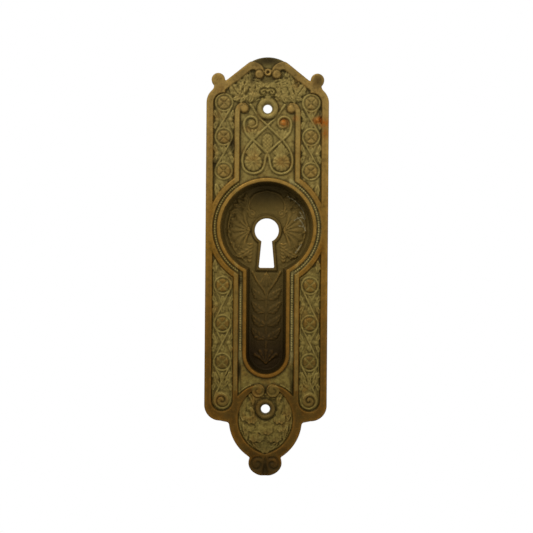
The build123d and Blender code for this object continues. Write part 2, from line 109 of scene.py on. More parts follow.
# Foot
FOOT_Z = -72.2
CORNER_RADIUS = 7.0
BASE_NOTCH = (13.24, -73.6)
SHIELD_Z = -71.6
SHIELD_RADIUS = 19.75
SHIELD_OFFSET = 3.46
SHIELD_BAND = 4.0
SHIELD_TOP = -62.0
FINIAL = (0.0, -91.0)
FINIAL_HALF = (7.4, 5.7)
FINIAL_LOBE = (3.5, -91.6)
CLEFT_TOP = -87.4
CLEFT_HALF = 1.3
CLEFT_DEEP = -91.0

# Side panels
PANEL_X = 19.45
PANEL_HALF = 4.8
PANEL_END_Z = -63.2
UPPER_ROWS = (69.5, 54.3, 39.1)
LOWER_ROWS = (-11.9, -29.0, -46.1)
ROSETTE = 2.95
VINE = 0.6
VINE_RISE = 0.7
VINE_RING = 3.75
FLOWER = (6.25, 43.0)
FLOWER_RADIUS = 4.15
BEAD = 0.5
BEAD_RISE = 0.56
BEAD_BASE = 0.18
BEAD_PITCH = 1.07
BEAD_RADIUS = 23.25
BEAD_X = 11.45

# Mesh
PLATE_AREA = ((-28, -98), (28, 91))
CUP_AREA = ((-21, -53), (21, 36))
STEP = 0.318
COARSE = 2
PLATE_BACK_STEP = 2.5
CUP_BACK_STEP = 2.0
EDGE_STEP = 0.4
EDGE_RAMP = 0.3
WALL_RINGS = 7


# Short forms


def ramp(value):
    """A value held between nought and one."""
    return np.clip(value, 0, 1)


def bell(distance, width, power=2):
    """One at a line, falling away on both sides of it."""
    return np.exp(-((distance / width) ** power))


def swell(distance, half, power=2):
    """A rounded section, one in the middle and nought at its edges."""
    return np.sqrt(ramp(1 - (distance / half) ** power))


# Distances in the plane of the plate, negative inside a shape


def nearest(*distances):
    """Several shapes as one."""
    return np.minimum.reduce(distances)


def from_point(x, z, point):
    return np.hypot(x - point[0], z - point[1])


def circle(x, z, centre, radius):
    return from_point(x, z, centre) - radius


def box(x, z, centre, half, radius):
    across = np.abs(x - centre[0]) - half[0] + radius
    along = np.abs(z - centre[1]) - half[1] + radius
    outside = np.hypot(np.maximum(across, 0), np.maximum(along, 0))
    return outside + np.minimum(np.maximum(across, along), 0) - radius


def ellipse(x, z, centre, half):
    across = (x - centre[0]) / half[0]
    along = (z - centre[1]) / half[1]
    near = np.hypot(across, along) + 1e-9
    slope = np.hypot(across / half[0], along / half[1]) + 1e-9
    return near * (near - 1) / slope


def stroke(x, z, points):
    """Distance from an open run of straight pieces."""
    distance = np.full(np.shape(x), np.inf)
    for (ax, az), (bx, bz) in zip(points[:-1], points[1:]):
        run_x, run_z = bx - ax, bz - az
        length = run_x * run_x + run_z * run_z + 1e-12
        along = ramp(((x - ax) * run_x + (z - az) * run_z) / length)
        distance = np.minimum(distance, np.hypot(x - ax - along * run_x, z - az - along * run_z))
    return distance


def polygon(x, z, points):
    closed = list(points) + [points[0]]
    inside = np.zeros(np.shape(x), bool)
    for (ax, az), (bx, bz) in zip(closed[:-1], closed[1:]):
        crosses = (az > z) != (bz > z)
        run = np.where(bz == az, 1e-12, bz - az)
        inside ^= crosses & (x < (bx - ax) * (z - az) / run + ax)
    distance = stroke(x, z, closed)
    return np.where(inside, -distance, distance)


def blend(a, b, width):
    """The nearer of two distances, with a fillet where they meet."""
    share = ramp(0.5 + 0.5 * (b - a) / width)
    return b + (a - b) * share - width * share * (1 - share)


def curve(points, count=10):
    """A smooth run through some points."""
    nodes = np.array([points[0], *points, points[-1]], float)
    places = []
    for a, b, c, d in zip(nodes[:-3], nodes[1:-2], nodes[2:-1], nodes[3:]):
        for t in np.arange(count) / count:
            bend = (2 * a - 5 * b + 4 * c - d) * t + (3 * b - a - 3 * c + d) * t * t
            places.append(b + 0.5 * t * (c - a + bend))
    places.append(nodes[-2])
    return np.array(places)


def about(centre, radius, angle):
    """Places about a centre."""
    return np.column_stack([centre[0] + radius * np.cos(angle), centre[1] + radius * np.sin(angle)])


def spiral(centre, start_radius, end_radius, start, turn, count=40):
    """A run that winds about a centre, by angles in degrees."""
    share = np.linspace(0, 1, count)
    angle = np.radians(start + turn * share)
    return about(centre, start_radius + (end_radius - start_radius) * share, angle)


def body_distance(x, z):
    """The plate without ears, shield or finial."""
    x = np.abs(x)
    crown_edge = (CROWN_RADIUS * sin(CROWN_SLOPE), CROWN_Z + CROWN_RADIUS * cos(CROWN_SLOPE))
    flank_z = crown_edge[1] - (EAR[0] - crown_edge[0]) * tan(CROWN_SLOPE)
    flank = [(-EAR[0], 0), (-EAR[0], crown_edge[1]), crown_edge, (EAR[0], flank_z), (EAR[0], 0)]
    foot = (HALF_WIDTH - CORNER_RADIUS, FOOT_Z)
    base = [(-EAR[0], 0), (EAR[0], 0), foot, BASE_NOTCH, (-EAR[0], BASE_NOTCH[1])]
    upper = np.maximum(box(x, z, (0, 0), (HALF_WIDTH, SHOULDER_TOP), SHOULDER_RADIUS), -z - BORDER)
    lower = np.maximum(box(x, z, (0, 0), (HALF_WIDTH, -FOOT_Z), CORNER_RADIUS), z - BORDER)
    crown = circle(x, z, (0, CROWN_Z), CROWN_RADIUS)
    return nearest(upper, lower, polygon(x, z, base), polygon(x, z, flank), crown)


def shield_distance(x, z, band):
    return circle(np.abs(x), z, (-SHIELD_OFFSET, SHIELD_Z), SHIELD_RADIUS - band)


def outline_distance(x, z):
    x = np.abs(x)
    ear = np.minimum(
        circle(x, z, EAR, EAR_RADIUS),
        box(x, z, (EAR[0], EAR[1] - EAR_RADIUS), (EAR_NECK, EAR_RADIUS), 0),
    )
    plate = blend(body_distance(x, z), ear, NOTCH_BLEND)
    plate = blend(plate, shield_distance(x, z, 0), NOTCH_BLEND)
    return blend(plate, ellipse(x, z, FINIAL, FINIAL_HALF), NOTCH_BLEND)


def cup_distance(x, z, grow):
    """The keyhole shape of the finger cup, grown outwards."""
    slot_z = (CUP_Z + SLOT_END_Z) / 2
    cup = circle(x, z, (0, CUP_Z), CUP_RADIUS + grow)
    slot = box(x, z, (0, slot_z), (SLOT_HALF + grow, CUP_Z - slot_z), 0)
    end = circle(x, z, (0, SLOT_END_Z), SLOT_HALF + grow)
    return nearest(cup, slot, end)


def in_channel(x, z):
    """Whether a place lies on the cup, its rim or the channel of the beads."""
    return cup_distance(x, z, RIM) < BEAD_CHANNEL + 0.05


# Straps: what stands at the level of the face inside the border

HOOK = curve([(13.55, 30.0), (13.55, 50.0), (13.55, 63.6), (13.2, 66.6), (12.1, 68.1), (10.6, 68.3)])
HOOK_BALL = ((10.4, 66.9), 1.9)
CROWN_ARM = curve([(14.2, 80.6), (11.2, 83.2), (8.3, 85.6), (5.9, 86.0), (4.0, 84.9), (3.3, 83.2)])
CROWN_ARM_HALF = 1.65
BALL_BLEND = 0.3
CROWN_BALL = ((3.87, 82.2), 2.05)
CROWN_RING = ((0.0, 83.1), 1.6)
CROWN_RING_HOLE = 0.65
SCROLL_ARM = curve([(12.45, -61.2), (8.33, -57.77), (3.3, -55.9)])
SCROLL = ((3.3, -58.8), 2.9)
CROWN_FAN = [(-8, 84), (5.0, 84), (5.0, 87.2), (6.3, 87.75), (8.0, 87.9), (8.0, 93), (-8, 93)]


def strap_distance(x, z):
    x = np.abs(x)
    ring = np.abs(circle(x, z, (0, CUP_Z), FRAME_RADIUS + STRAP / 2)) - STRAP / 2
    ring = np.maximum(ring, STRAP_INNER - x)
    bars = np.maximum(stroke(x, z, HOOK) - STRAP / 2, -circle(x, z, (0, CUP_Z), FRAME_RADIUS))
    straps = blend(nearest(ring, bars), circle(x, z, *HOOK_BALL), BALL_BLEND)
    arms = blend(stroke(x, z, CROWN_ARM) - CROWN_ARM_HALF, circle(x, z, *CROWN_BALL), BALL_BLEND)
    return nearest(straps, arms, circle(x, z, *CROWN_RING), circle(x, z, *SCROLL))


def field_distance(x, z):
    """The sunk fields between the straps."""
    x = np.abs(x)
    upper = np.maximum(body_distance(x, z) + BORDER, CUP_Z - z)
    panel_z = (CUP_Z + PANEL_END_Z) / 2
    panel = box(x, z, (PANEL_X, panel_z), (PANEL_HALF, CUP_Z - panel_z), 0)
    panel = np.minimum(panel, circle(x, z, (PANEL_X, PANEL_END_Z), PANEL_HALF))
    scroll_z = SCROLL[0][1]
    middle = [(-1, CUP_Z), (STRAP_INNER, CUP_Z), *SCROLL_ARM, SCROLL[0], (-1, scroll_z)]
    shield = shield_distance(x, z, SHIELD_BAND)
    channel = circle(x, z, (0, CUP_Z), FRAME_RADIUS)
    field = nearest(upper, panel, polygon(x, z, middle), shield, polygon(x, z, CROWN_FAN), channel)
    return np.maximum(field, -nearest(strap_distance(x, z), cup_distance(x, z, RIM)))


# Heights of the ornament above the surface that carries it


def cord(distance, half, rise):
    """A rounded ridge along a line."""
    return rise * ramp(1 - (distance / half) ** 2) ** 0.75


def dome(x, z, centre, radius, rise):
    return rise * np.sqrt(ramp(1 - ((x - centre[0]) ** 2 + (z - centre[1]) ** 2) / radius**2))


def leaf(x, z, root, tip, width, rise, bend, lobes):
    """A leaf from its root to its tip, with a sunk midrib and lobed edges."""
    run_x, run_z = tip[0] - root[0], tip[1] - root[1]
    length = hypot(run_x, run_z)
    along = ((x - root[0]) * run_x + (z - root[1]) * run_z) / length**2
    side = ((x - root[0]) * run_z - (z - root[1]) * run_x) / length
    share = ramp(along)
    side = side - bend * np.sin(pi * share)
    half = width / 2 * np.sin(pi * share**0.75) ** 0.7 + 0.02
    ribs = 0.0
    if lobes:
        phase = lobes * share - 0.8 * np.abs(side) / (width / 2)
        ribs = 0.5 - 0.5 * np.cos(2 * pi * phase)
        half = half * (0.86 + 0.14 * ribs)
    body = swell(side, half)
    midrib = 1 - 0.4 * bell(side, 0.26)
    shape = body**0.7 * midrib * (0.85 + 0.15 * ribs)
    return np.where((along > 0) & (along < 1), rise * shape, 0)


def shell(x, z, root, radius, middle, spread, ribs, rise, depth):
    """A fan of rounded ribs about a root, by angles in degrees."""
    reach = from_point(x, z, root)
    angle = np.degrees(np.arctan2(z - root[1], x - root[0])) - middle
    angle = (angle + 180) % 360 - 180
    angle = angle / (0.68 + 0.32 * ramp(reach / radius))
    inside = ramp(1 - (2 * np.abs(angle) / spread) ** 8)
    rib = np.abs(np.cos(pi * ribs * (angle / spread + 0.5) + pi / 2))
    edge = radius * (0.86 + 0.14 * rib)
    body = ramp(1 - (reach / edge) ** 6)
    return rise * np.sqrt(body * inside) * (1 - depth + depth * rib**0.7)


def rosette(x, z, centre):
    """Four round petals with crossed grooves between them, on a collar inside a ring of the vine."""
    across, along = x - centre[0], z - centre[1]
    reach = np.hypot(across, along)
    cross = np.minimum(np.abs(across - along), np.abs(across + along)) / sqrt(2)
    body = swell(reach, ROSETTE, 10)
    groove = 0.4 * bell(cross, 0.34) * ramp(reach / 0.4)
    collar = 0.5 * ramp(1 - (reach / VINE_RING) ** 8)
    ring = cord(reach - VINE_RING, VINE, VINE_RISE)
    return np.maximum(np.maximum((1.05 - groove) * body, collar), ring)


def scale(x, z, place, half, length, rise):
    """A leaf tip that curls over: it swells downwards and drops at its lobed lower edge."""
    across = (x - place[0]) / half
    edge = place[1] + 0.3 * np.cos(2.5 * pi * across) + 0.9 * across**2
    along = (edge + length - z) / length
    swell = ramp(along) ** 1.3
    drop = ramp(1 - (along - 1) * length / 0.4)
    veins = 0.9 + 0.1 * np.cos(5 * pi * across)
    return rise * ramp(1 - across**2) ** 0.4 * swell * drop * veins


def bunch(x, z, top, point, half, rise):
    """A hanging bunch, round at the top and pointed below, with rows of lumps."""
    share = ramp((top - z) / (top - point))
    width = half * np.sin(pi * share**0.65) ** 0.75 + 0.02
    body = swell(x, width)
    lumps = 0.84 + 0.16 * np.cos(2 * pi * x / 1.7) * np.cos(2 * pi * (z - top) / 1.7)
    return np.where((share > 0) & (share < 1), rise * body**0.7 * lumps, 0)


def flower(x, z, centre, radius):
    """A round flower with many petals about a button."""
    across, along = x - centre[0], z - centre[1]
    reach = np.hypot(across, along)
    angle = np.arctan2(along, across)
    petal = np.abs(np.cos(6 * angle))
    body = swell(reach, radius * (0.93 + 0.07 * petal), 6)
    rise = body * (0.72 + 0.28 * petal**0.6 * ramp(reach / 1.6))
    return np.maximum(rise, dome(x, z, centre, 0.9, 0.95))


def flower_fan(x, z):
    """The ribbed fan that fills the pointed loop above a flower."""
    inside = ramp(-polygon(x, z, FLOWER_LOOP) / 0.5)
    return inside * shell(x, z, FLOWER, *FLOWER_FAN)


def scroll_boss(x, z, centre, radius, rise, start, turn):
    """A round boss with a spiral groove in its top, by angles in degrees."""
    reach = from_point(x, z, centre)
    body = swell(reach, radius, 6)
    groove = stroke(x, z, spiral(centre, 0.95 * radius, 0.5, start, turn))
    return rise * body * (1 - 0.5 * bell(groove, 0.36))


class Relief:
    """Heights over a set of points, built up from motifs on both sides of the centre line."""

    def __init__(self, x, z):
        self.x = np.abs(x)
        self.z = z
        self.rise = np.zeros(np.shape(x))

    def motif(self, centre, reach, form, *sizes):
        """Adds a form that lies within a reach of a centre."""
        near = (np.abs(self.x - centre[0]) < reach) & (np.abs(self.z - centre[1]) < reach)
        if near.any():
            rise = form(self.x[near], self.z[near], *sizes)
            self.rise[near] = np.maximum(self.rise[near], rise)

    def disc(self, form, centre, radius, *sizes):
        """Adds a form that is given its own centre and radius."""
        self.motif(centre, radius, form, centre, radius, *sizes)

    def line(self, points, half, rise):
        points = np.array(points, float)
        low, high = points.min(0) - half, points.max(0) + half
        near = (self.x > low[0]) & (self.x < high[0]) & (self.z > low[1]) & (self.z < high[1])
        if near.any():
            distance = stroke(self.x[near], self.z[near], points)
            self.rise[near] = np.maximum(self.rise[near], cord(distance, half, rise))

    def leaves(self, leaves):
        for root, tip, width, rise, bend, lobes in leaves:
            centre = ((root[0] + tip[0]) / 2, (root[1] + tip[1]) / 2)
            reach = hypot(tip[0] - root[0], tip[1] - root[1]) / 2 + width
            self.motif(centre, reach, leaf, root, tip, width, rise, bend, lobes)


# Leaves: root, tip, width, rise, bend and lobes, on the right of the centre line
CROWN_LEAVES = [
    ((12.8, 71.6), (9.4, 83.2), 4.6, 1.1, -0.5, 3),
    ((5.2, 79.0), (8.2, 69.4), 5.4, 1.1, 0.6, 3),
    ((12.6, 72.6), (16.8, 78.6), 5.2, 1.0, 0.3, 3),
    ((12.2, 72.0), (15.6, 71.0), 2.8, 0.95, 0.2, 2),
    ((9.6, 72.6), (12.4, 69.6), 2.6, 0.9, 0.0, 2),
    ((1.6, 77.4), (7.6, 79.6), 3.6, 1.0, -0.4, 2),
    ((3.6, 73.4), (5.8, 70.2), 2.2, 1.0, 0.2, 0),
]
# Hanging bunch in the middle of the panel: top, point, half width and rise
BUNCH = (55.8, 46.6, 2.5, 1.1)
SHIELD_LEAVES = [
    ((7.5, -59.6), (5.4, -65.4), 2.4, 1.25, 0.6, 0),
    ((9.4, -60.4), (10.0, -72.6), 4.0, 1.05, -0.8, 0),
    ((3.4, -62.6), (0.6, -61.4), 1.8, 0.8, 0.0, 0),
    ((6.8, -66.2), (5.6, -71.4), 2.8, 0.95, 0.6, 2),
    ((9.8, -74.0), (8.2, -81.0), 2.6, 0.95, 0.3, 3),
    ((5.6, -81.4), (1.4, -85.6), 2.6, 0.9, -0.3, 3),
]
# Curled leaf tips of the shield: place of the lower edge, half width, length and rise
SHIELD_SCALES = [
    ((6.2, -73.3), 2.9, 5.6, 1.35),
    ((0.0, -78.2), 3.6, 6.4, 1.2),
    ((7.2, -77.0), 2.2, 3.6, 1.05),
    ((3.9, -81.6), 3.6, 4.6, 1.2),
    ((0.0, -86.6), 2.2, 4.0, 1.1),
]
CORNER_LEAVES = [
    ((22.8, 33.4), (22.4, 26.8), 2.8, 0.95, 0.3, 3),
    ((20.6, 33.0), (19.0, 30.6), 1.8, 0.8, 0.0, 0),
    ((22.6, -6.2), (22.8, -0.4), 2.8, 0.95, 0.3, 3),
    ((19.8, -5.6), (17.8, -6.8), 1.6, 0.75, 0.0, 0),
    ((16.0, -50.4), (18.8, -57.8), 2.8, 1.0, 0.4, 3),
    ((22.6, -50.6), (20.4, -58.0), 2.8, 1.0, -0.4, 3),
    ((19.4, -51.4), (19.5, -58.0), 2.2, 0.95, 0.0, 3),
]
# Fans: root, radius, middle, spread, ribs, rise and depth of the grooves; one grows from the flower
CROWN_SHELL = ((0, TOP_SCREW[1] + TOP_BOSS - 0.6), 8.6, 90, 190, 7, 1.0, 0.22)
FLOWER_FAN = (11.0, 90, 100, 9, 0.6, 0.35)
CURL_SHELL = ((6.2, 52.4), 5.6, 84, 92, 5, 0.55, 0.35)
# Bosses with a spiral groove: centre, radius, rise, start and turn
END_SPIRAL = ((PANEL_X, PANEL_END_Z), 4.1, 1.15, 100, 560)
BUD_SPREAD = 2.9
BUD_TIP = 4.1
BUD = 1.2
BUD_RISE = 0.85
STEM = 0.7
FLOWER_STEM = curve([
    (-7.6, 68.6), (-4.2, 64.0), (-0.6, 60.0), (3.3, 56.3), (7.4, 52.2), (10.2, 48.0),
    (11.2, 43.6), (10.0, 39.6), (6.3, 38.0), (2.7, 39.3), (1.25, 42.4), (0.9, 45.0), (0.0, 46.9),
])
FLOWER_LOOP = [(6.2, 52.4), (10.4, 47.0), (10.4, 42.0), (1.9, 42.0), (1.7, 47.0)]
CURL_BALL = ((7.1, 60.5), 1.75)
CURL = np.vstack([
    curve([(0.6, 47.6), (2.6, 49.6), (4.8, 51.6), (7.4, 53.7), (9.7, 56.2), (10.6, 59.5)]),
    spiral(CURL_BALL[0], 3.5, 1.6, -14, 330),
])
TWIN_CURL = curve([
    (0.0, 73.0), (0.0, 74.0), (0.5, 74.9), (1.6, 75.2), (2.6, 74.8), (2.6, 73.9), (1.9, 73.6), (1.5, 74.1),
])
CROWN_ARCH = curve([(5.4, 70.4), (3.6, 71.9), (1.6, 72.6), (0.0, 73.6)])


def panel_link(relief, above, below):
    """Stems that cross from one ring to the next below, with buds and leaves about the crossing."""
    lean = 2 * VINE_RING / (above - below)
    drop = VINE_RING * lean
    reach = VINE_RING * sqrt(1 - lean * lean)
    middle = (above + below) / 2
    relief.line([(PANEL_X - reach, above - drop), (PANEL_X + reach, below + drop)], VINE, VINE_RISE + 0.15)
    relief.line([(PANEL_X + reach, above - drop), (PANEL_X, middle)], VINE, VINE_RISE - 0.1)
    for side in (-1, 1):
        bud_x = PANEL_X + side * BUD_SPREAD
        tip_x = PANEL_X + side * BUD_TIP
        relief.disc(dome, (bud_x, middle), BUD, BUD_RISE)
        relief.leaves([
            ((bud_x, middle + 0.6), (tip_x, middle + 4.4), 2.2, BUD_RISE, 0.3 * side, 2),
            ((bud_x, middle - 0.6), (tip_x, middle - 4.4), 2.2, BUD_RISE, -0.3 * side, 2),
            ((PANEL_X, middle + side * 0.9), (PANEL_X, middle + side * 3.9), 2.6, 0.75, 0.0, 2),
        ])


def bead_places():
    """Middles of the beads in the channel around the cup, on the right of the centre line."""
    half_turn = acos((STRAP_INNER + BEAD) / BEAD_RADIUS)
    count = int(2 * half_turn * BEAD_RADIUS / BEAD_PITCH)
    angles = np.linspace(-half_turn, half_turn, count)
    places = [(BEAD_RADIUS * cos(a), CUP_Z + BEAD_RADIUS * sin(a)) for a in angles]
    top = CUP_Z - sqrt(BEAD_RADIUS**2 - BEAD_X**2) - BEAD_PITCH
    count = int((top - SLOT_END_Z) / BEAD_PITCH)
    places += [(BEAD_X, top - i * BEAD_PITCH) for i in range(count)]
    return np.array(places)


BEADS = bead_places()


def bead_ring(x, z):
    """The low ridge that joins the beads around the cup."""
    return np.where(x > STRAP_INNER, cord(circle(x, z, (0, CUP_Z), BEAD_RADIUS), BEAD, BEAD_BASE), 0)


def panel_ornament(relief):
    """The vine of the side panels, with its rosettes, buds and leaves."""
    for row in UPPER_ROWS + LOWER_ROWS:
        relief.motif((PANEL_X, row), VINE_RING + VINE, rosette, (PANEL_X, row))
    for rows in (UPPER_ROWS, LOWER_ROWS + (PANEL_END_Z,)):
        for above, below in zip(rows[:-1], rows[1:]):
            panel_link(relief, above, below)
    relief.disc(scroll_boss, *END_SPIRAL)


def centre_ornament(relief):
    """The crossed stems above the cup, with their curls, flowers and hanging bunch."""
    for side in (-1, 1):
        relief.line(FLOWER_STEM * (side, 1), STEM, VINE_RISE)
    relief.line(CURL, STEM, VINE_RISE)
    relief.disc(dome, *CURL_BALL, 1.15)
    relief.disc(shell, *CURL_SHELL)
    relief.disc(flower, FLOWER, FLOWER_RADIUS)
    relief.motif(FLOWER, FLOWER_FAN[0], flower_fan)
    relief.motif((0, BUNCH[0]), BUNCH[0] - BUNCH[1], bunch, *BUNCH)


def ornament(x, z):
    """Rise of the ornament in the sunk fields."""
    relief = Relief(x, z)
    relief.disc(shell, *CROWN_SHELL)
    relief.leaves(CROWN_LEAVES + SHIELD_LEAVES + CORNER_LEAVES)
    relief.line(TWIN_CURL, 0.55, 1.3)
    for place, half, length, rise in SHIELD_SCALES:
        relief.motif(place, length + 2, scale, place, half, length, rise)
    panel_ornament(relief)
    centre_ornament(relief)
    relief.motif((0, CUP_Z), BEAD_RADIUS + BEAD, bead_ring)
    relief.line([BEADS[-1], (BEAD_X, BEADS[0][1])], BEAD, BEAD_BASE)
    for bead in BEADS:
        relief.disc(dome, bead, BEAD, BEAD_RISE)
    return relief.rise


def boss(x, z, centre, radius):
    """A round-shouldered boss about a screw hole."""
    return GROUND + BOSS_RISE * swell(from_point(x, z, centre), radius, 18)


def grain(x, z, scale, seed):
    """Smooth chance variation about zero, the same at every run."""
    lattice = np.random.default_rng(seed).uniform(-1, 1, (256, 256))
    u, v = x / scale + 128.3, z / scale + 128.7
    column, row = np.floor(u).astype(int), np.floor(v).astype(int)
    fu, fv = u - column, v - row
    fu, fv = fu * fu * (3 - 2 * fu), fv * fv * (3 - 2 * fv)
    corner = [[lattice[(column + i) % 256, (row + j) % 256] for j in (0, 1)] for i in (0, 1)]
    near = corner[0][0] * (1 - fu) + corner[1][0] * fu
    far = corner[0][1] * (1 - fu) + corner[1][1] * fu
    return near * (1 - fv) + far * fv


def foliage(x, z):
    """A low lumpy mass under the leaves of the crown, the shield and the side panels."""
    across = np.abs(x)
    top = np.interp(across, [0, 6, 8], [79.2, 79.6, 84.0])
    crown = ramp((z - 69.6) / 1.5) * ramp((15.5 - across) / 2)
    crown = crown * ramp((top - z) / 0.8)
    shield = 0.5 * ramp(-shield_distance(x, z, SHIELD_BAND + 1.4) / 1.0) * (z < -60)
    lumps = 0.55 + 0.36 * grain(x, z, 1.2, 5) + 0.24 * grain(x, z, 0.6, 6)
    panel = ramp((PANEL_HALF - 0.8 - np.abs(across - PANEL_X)) / 0.8) * (z < SHOULDER_TOP - 4)
    panel = panel * ~in_channel(x, z) * (0.22 + 0.12 * grain(x, z, 1.2, 14))
    return np.maximum(np.maximum(crown, shield) * lumps, panel)


# Spiral grooves of the volutes: run, depth and width
SPIRAL_GROOVES = [
    (spiral(SCROLL[0], 2.7, 0.8, 75, 340), 0.4, 0.42),
    (spiral(FINIAL_LOBE, 3.3, 1.0, 120, -380), 0.5, 0.55),
]
# Ledge beside the straps of the lower panels, which the plain middle doesn't have
LEDGE_RISE = 0.42
LEDGE_INSET = 0.62
LEDGE_HALF = 0.34
LEDGE_TOP = -4.0
MIDDLE_HALF = 6.4
# Crown: rough leafwork, a ribbed fan above it, a dip between them and moats about the stems
ROUGH_FOOT = 70.0
ROUGH_TOP = 84.0
ROUGH_HALF = 15.0
FAN_FOOT = 84.4
FAN_HALF = 8.0
FAN_DEPTH = 0.35
FAN_RIDGE = 0.2
FAN_WAVE = 4.2
DIP_Z = 79.6
DIP_REACH = (4.6, 1.1)
DIP_DEPTH = 0.5
MOAT_DEPTH = 0.6
BOSS_MOAT_DEPTH = 0.45


def rounded_edge(inset, radius):
    """How far a rounded edge lies below its top, at some distance in from the edge."""
    inset = np.clip(inset, 0, radius)
    return radius - np.sqrt(radius**2 - (radius - inset) ** 2)


def strap_top(x, z, inset):
    """The tops of border, straps and volutes, a little crowned, with balls and spiral grooves."""
    top = FACE - rounded_edge(inset, EDGE_RAMP + 0.1) * 0.9
    for centre, radius in (HOOK_BALL, CROWN_BALL):
        reach = from_point(x, z, centre)
        crease = bell(reach - radius, 0.3) * (x < 11.9)
        ball = np.where(reach < radius, dome(x, z, centre, radius, 0.55) - 0.25, 0)
        top = top + ball - 0.35 * crease
    top = top - 1.1 * bell(circle(x, z, CROWN_RING[0], 0), CROWN_RING_HOLE, 4)
    for groove, depth, width in SPIRAL_GROOVES:
        top = top - depth * bell(stroke(x, z, groove), width)
    cleft = 0.2 + CLEFT_HALF * ramp((CLEFT_TOP - z) / 9.4)
    depth = 0.4 * ramp((CLEFT_TOP - z) / 2) + 0.9 * ramp((CLEFT_DEEP - z) / 2.5)
    return top - depth * bell(x, cleft)


def plate_height(x, z):
    """Height of the front of the plate above its back."""
    across = np.abs(x)
    field = field_distance(x, z)
    top = strap_top(across, z, field)
    sunk = ramp(-field / EDGE_RAMP)
    sunk = sunk * sunk * (3 - 2 * sunk)
    ground = GROUND + np.maximum(ornament(x, z), foliage(x, z)) + 0.05 * grain(x, z, 0.8, 1)
    ledge = LEDGE_RISE * ramp(1 - ((-field - LEDGE_INSET) / LEDGE_HALF) ** 4) * (z < LEDGE_TOP)
    plain = in_channel(x, z) | ((across < MIDDLE_HALF) & (z > SHIELD_TOP))
    ground = np.maximum(ground, GROUND + np.where(plain, 0, ledge))
    rough = ramp(-shield_distance(x, z, SHIELD_BAND + 0.6))
    ground = ground + rough * (0.2 * grain(x, z, 1.1, 10) + 0.1 * grain(x, z, 0.6, 11))
    rough = ramp((z - ROUGH_FOOT) / 1.5) * ramp((ROUGH_HALF - across) / 2) * ramp(ROUGH_TOP - z)
    ground = ground + rough * (0.22 * grain(x, z, 1.0, 12) + 0.16 * grain(x, z, 0.6, 13))
    moat = bell(stroke(across, z, TWIN_CURL) - 0.85, 0.35) * (z > 73)
    moat = np.maximum(moat, bell(stroke(across, z, CROWN_ARCH), 0.4))
    ground = ground - MOAT_DEPTH * moat
    fan = (z > FAN_FOOT) & (across < FAN_HALF)
    ridges = FAN_RIDGE * np.cos(FAN_WAVE * np.hypot(x, z - CROWN_Z))
    ground = np.where(fan, GROUND - FAN_DEPTH + ridges, ground)
    dip = bell(z - DIP_Z, DIP_REACH[1]) * bell(x, DIP_REACH[0], 4)
    ground = ground - DIP_DEPTH * dip
    height = top + (ground - top) * sunk
    for centre, radius in zip(SCREWS, (TOP_BOSS, BOTTOM_BOSS)):
        moat = bell(from_point(x, z, centre) - radius - 0.5, 0.45)
        height = height - BOSS_MOAT_DEPTH * moat * sunk
        height = np.maximum(height, boss(x, z, centre, radius))
    outer = rounded_edge(-outline_distance(x, z), EDGE_ROUND)
    rim = rounded_edge(cup_distance(x, z, 0), RIM_ROUND)
    return height - outer - rim + 0.04 * grain(x, z, 4.0, 2) + 0.02 * grain(x, z, 1.2, 4)


# Ornament of the cup floor

FLOOR_LEAVES = [
    ((7.4, 4.6), (14.6, 0.8), 3.8, 0.8, 0.6, 4),
    ((7.6, 20.6), (13.8, 27.2), 3.6, 0.8, -0.5, 4),
    ((12.6, 22.4), (17.4, 21.0), 2.6, 0.7, 0.3, 3),
    ((8.6, 23.4), (9.8, 29.8), 2.6, 0.75, -0.5, 3),
    ((11.4, 24.0), (15.4, 24.8), 2.4, 0.7, 0.3, 3),
]
FLOOR_SCROLL = ((6.7, 20.6), 2.0, 0.6, 100, 420)
FLOOR_SHELL = ((KEY_RADIUS + LIP, KEY_CENTRE[1]), 10.6, 0, 168, 7, 0.95, 0.5)
HUSK_TOP = (7.7, 7.2)
HUSK_LENGTH = 9.0
HUSK_ROWS = 6
SLOT_LEAVES = [((0.3, row), (6.6, row + 4.8), 4.0, 0.4, 0.9, 4) for row in (-36.2, -30.2, -24.2, -18.2)]
SLOT_FAN = ((0, -5.0), 8.4, -90, 70, 5, 0.5, 0.5)
SLOT_FOOT = ((0, -48.0), 7.6, 90, 120, 5, 0.5, 0.5)
# Lines: run, half width and rise
FLOOR_LINES = [
    (curve([(8.2, 21.4), (8.0, 25.4), (5.4, 29.2), (0.0, 30.8)]), 0.7, 0.45),
    (curve([(6.2, -6.0), (4.4, -9.6), (2.4, -12.4), (0.8, -14.6), (0.0, -17.6)]), 0.7, 0.45),
    ([(0, -40), (0, -13)], 0.8, 0.22),
    (spiral((0, CUP_Z), 17.6, 17.6, 28, -66), 0.4, 0.45),
]


def key_distance(x, z, grow):
    x = np.abs(x)
    neck, foot = KEY_NECK + grow, KEY_FOOT + grow
    low = KEY_FOOT_Z - grow
    slot = [(-neck, KEY_CENTRE[1]), (neck, KEY_CENTRE[1]), (foot, low), (-foot, low)]
    return np.minimum(circle(x, z, KEY_CENTRE, KEY_RADIUS + grow), polygon(x, z, slot))


def husks(x, z):
    """A narrowing string of husks that hangs beside the keyhole."""
    share = (HUSK_TOP[1] - z) / HUSK_LENGTH
    half = 1.9 - 0.9 * ramp(share)
    body = swell(x - HUSK_TOP[0], half)
    ridge = np.abs(np.sin(pi * HUSK_ROWS * (share + 0.06 * np.abs(x - HUSK_TOP[0]))))
    return np.where((share > 0) & (share < 1), 0.6 * body * (0.4 + 0.6 * ridge), 0)


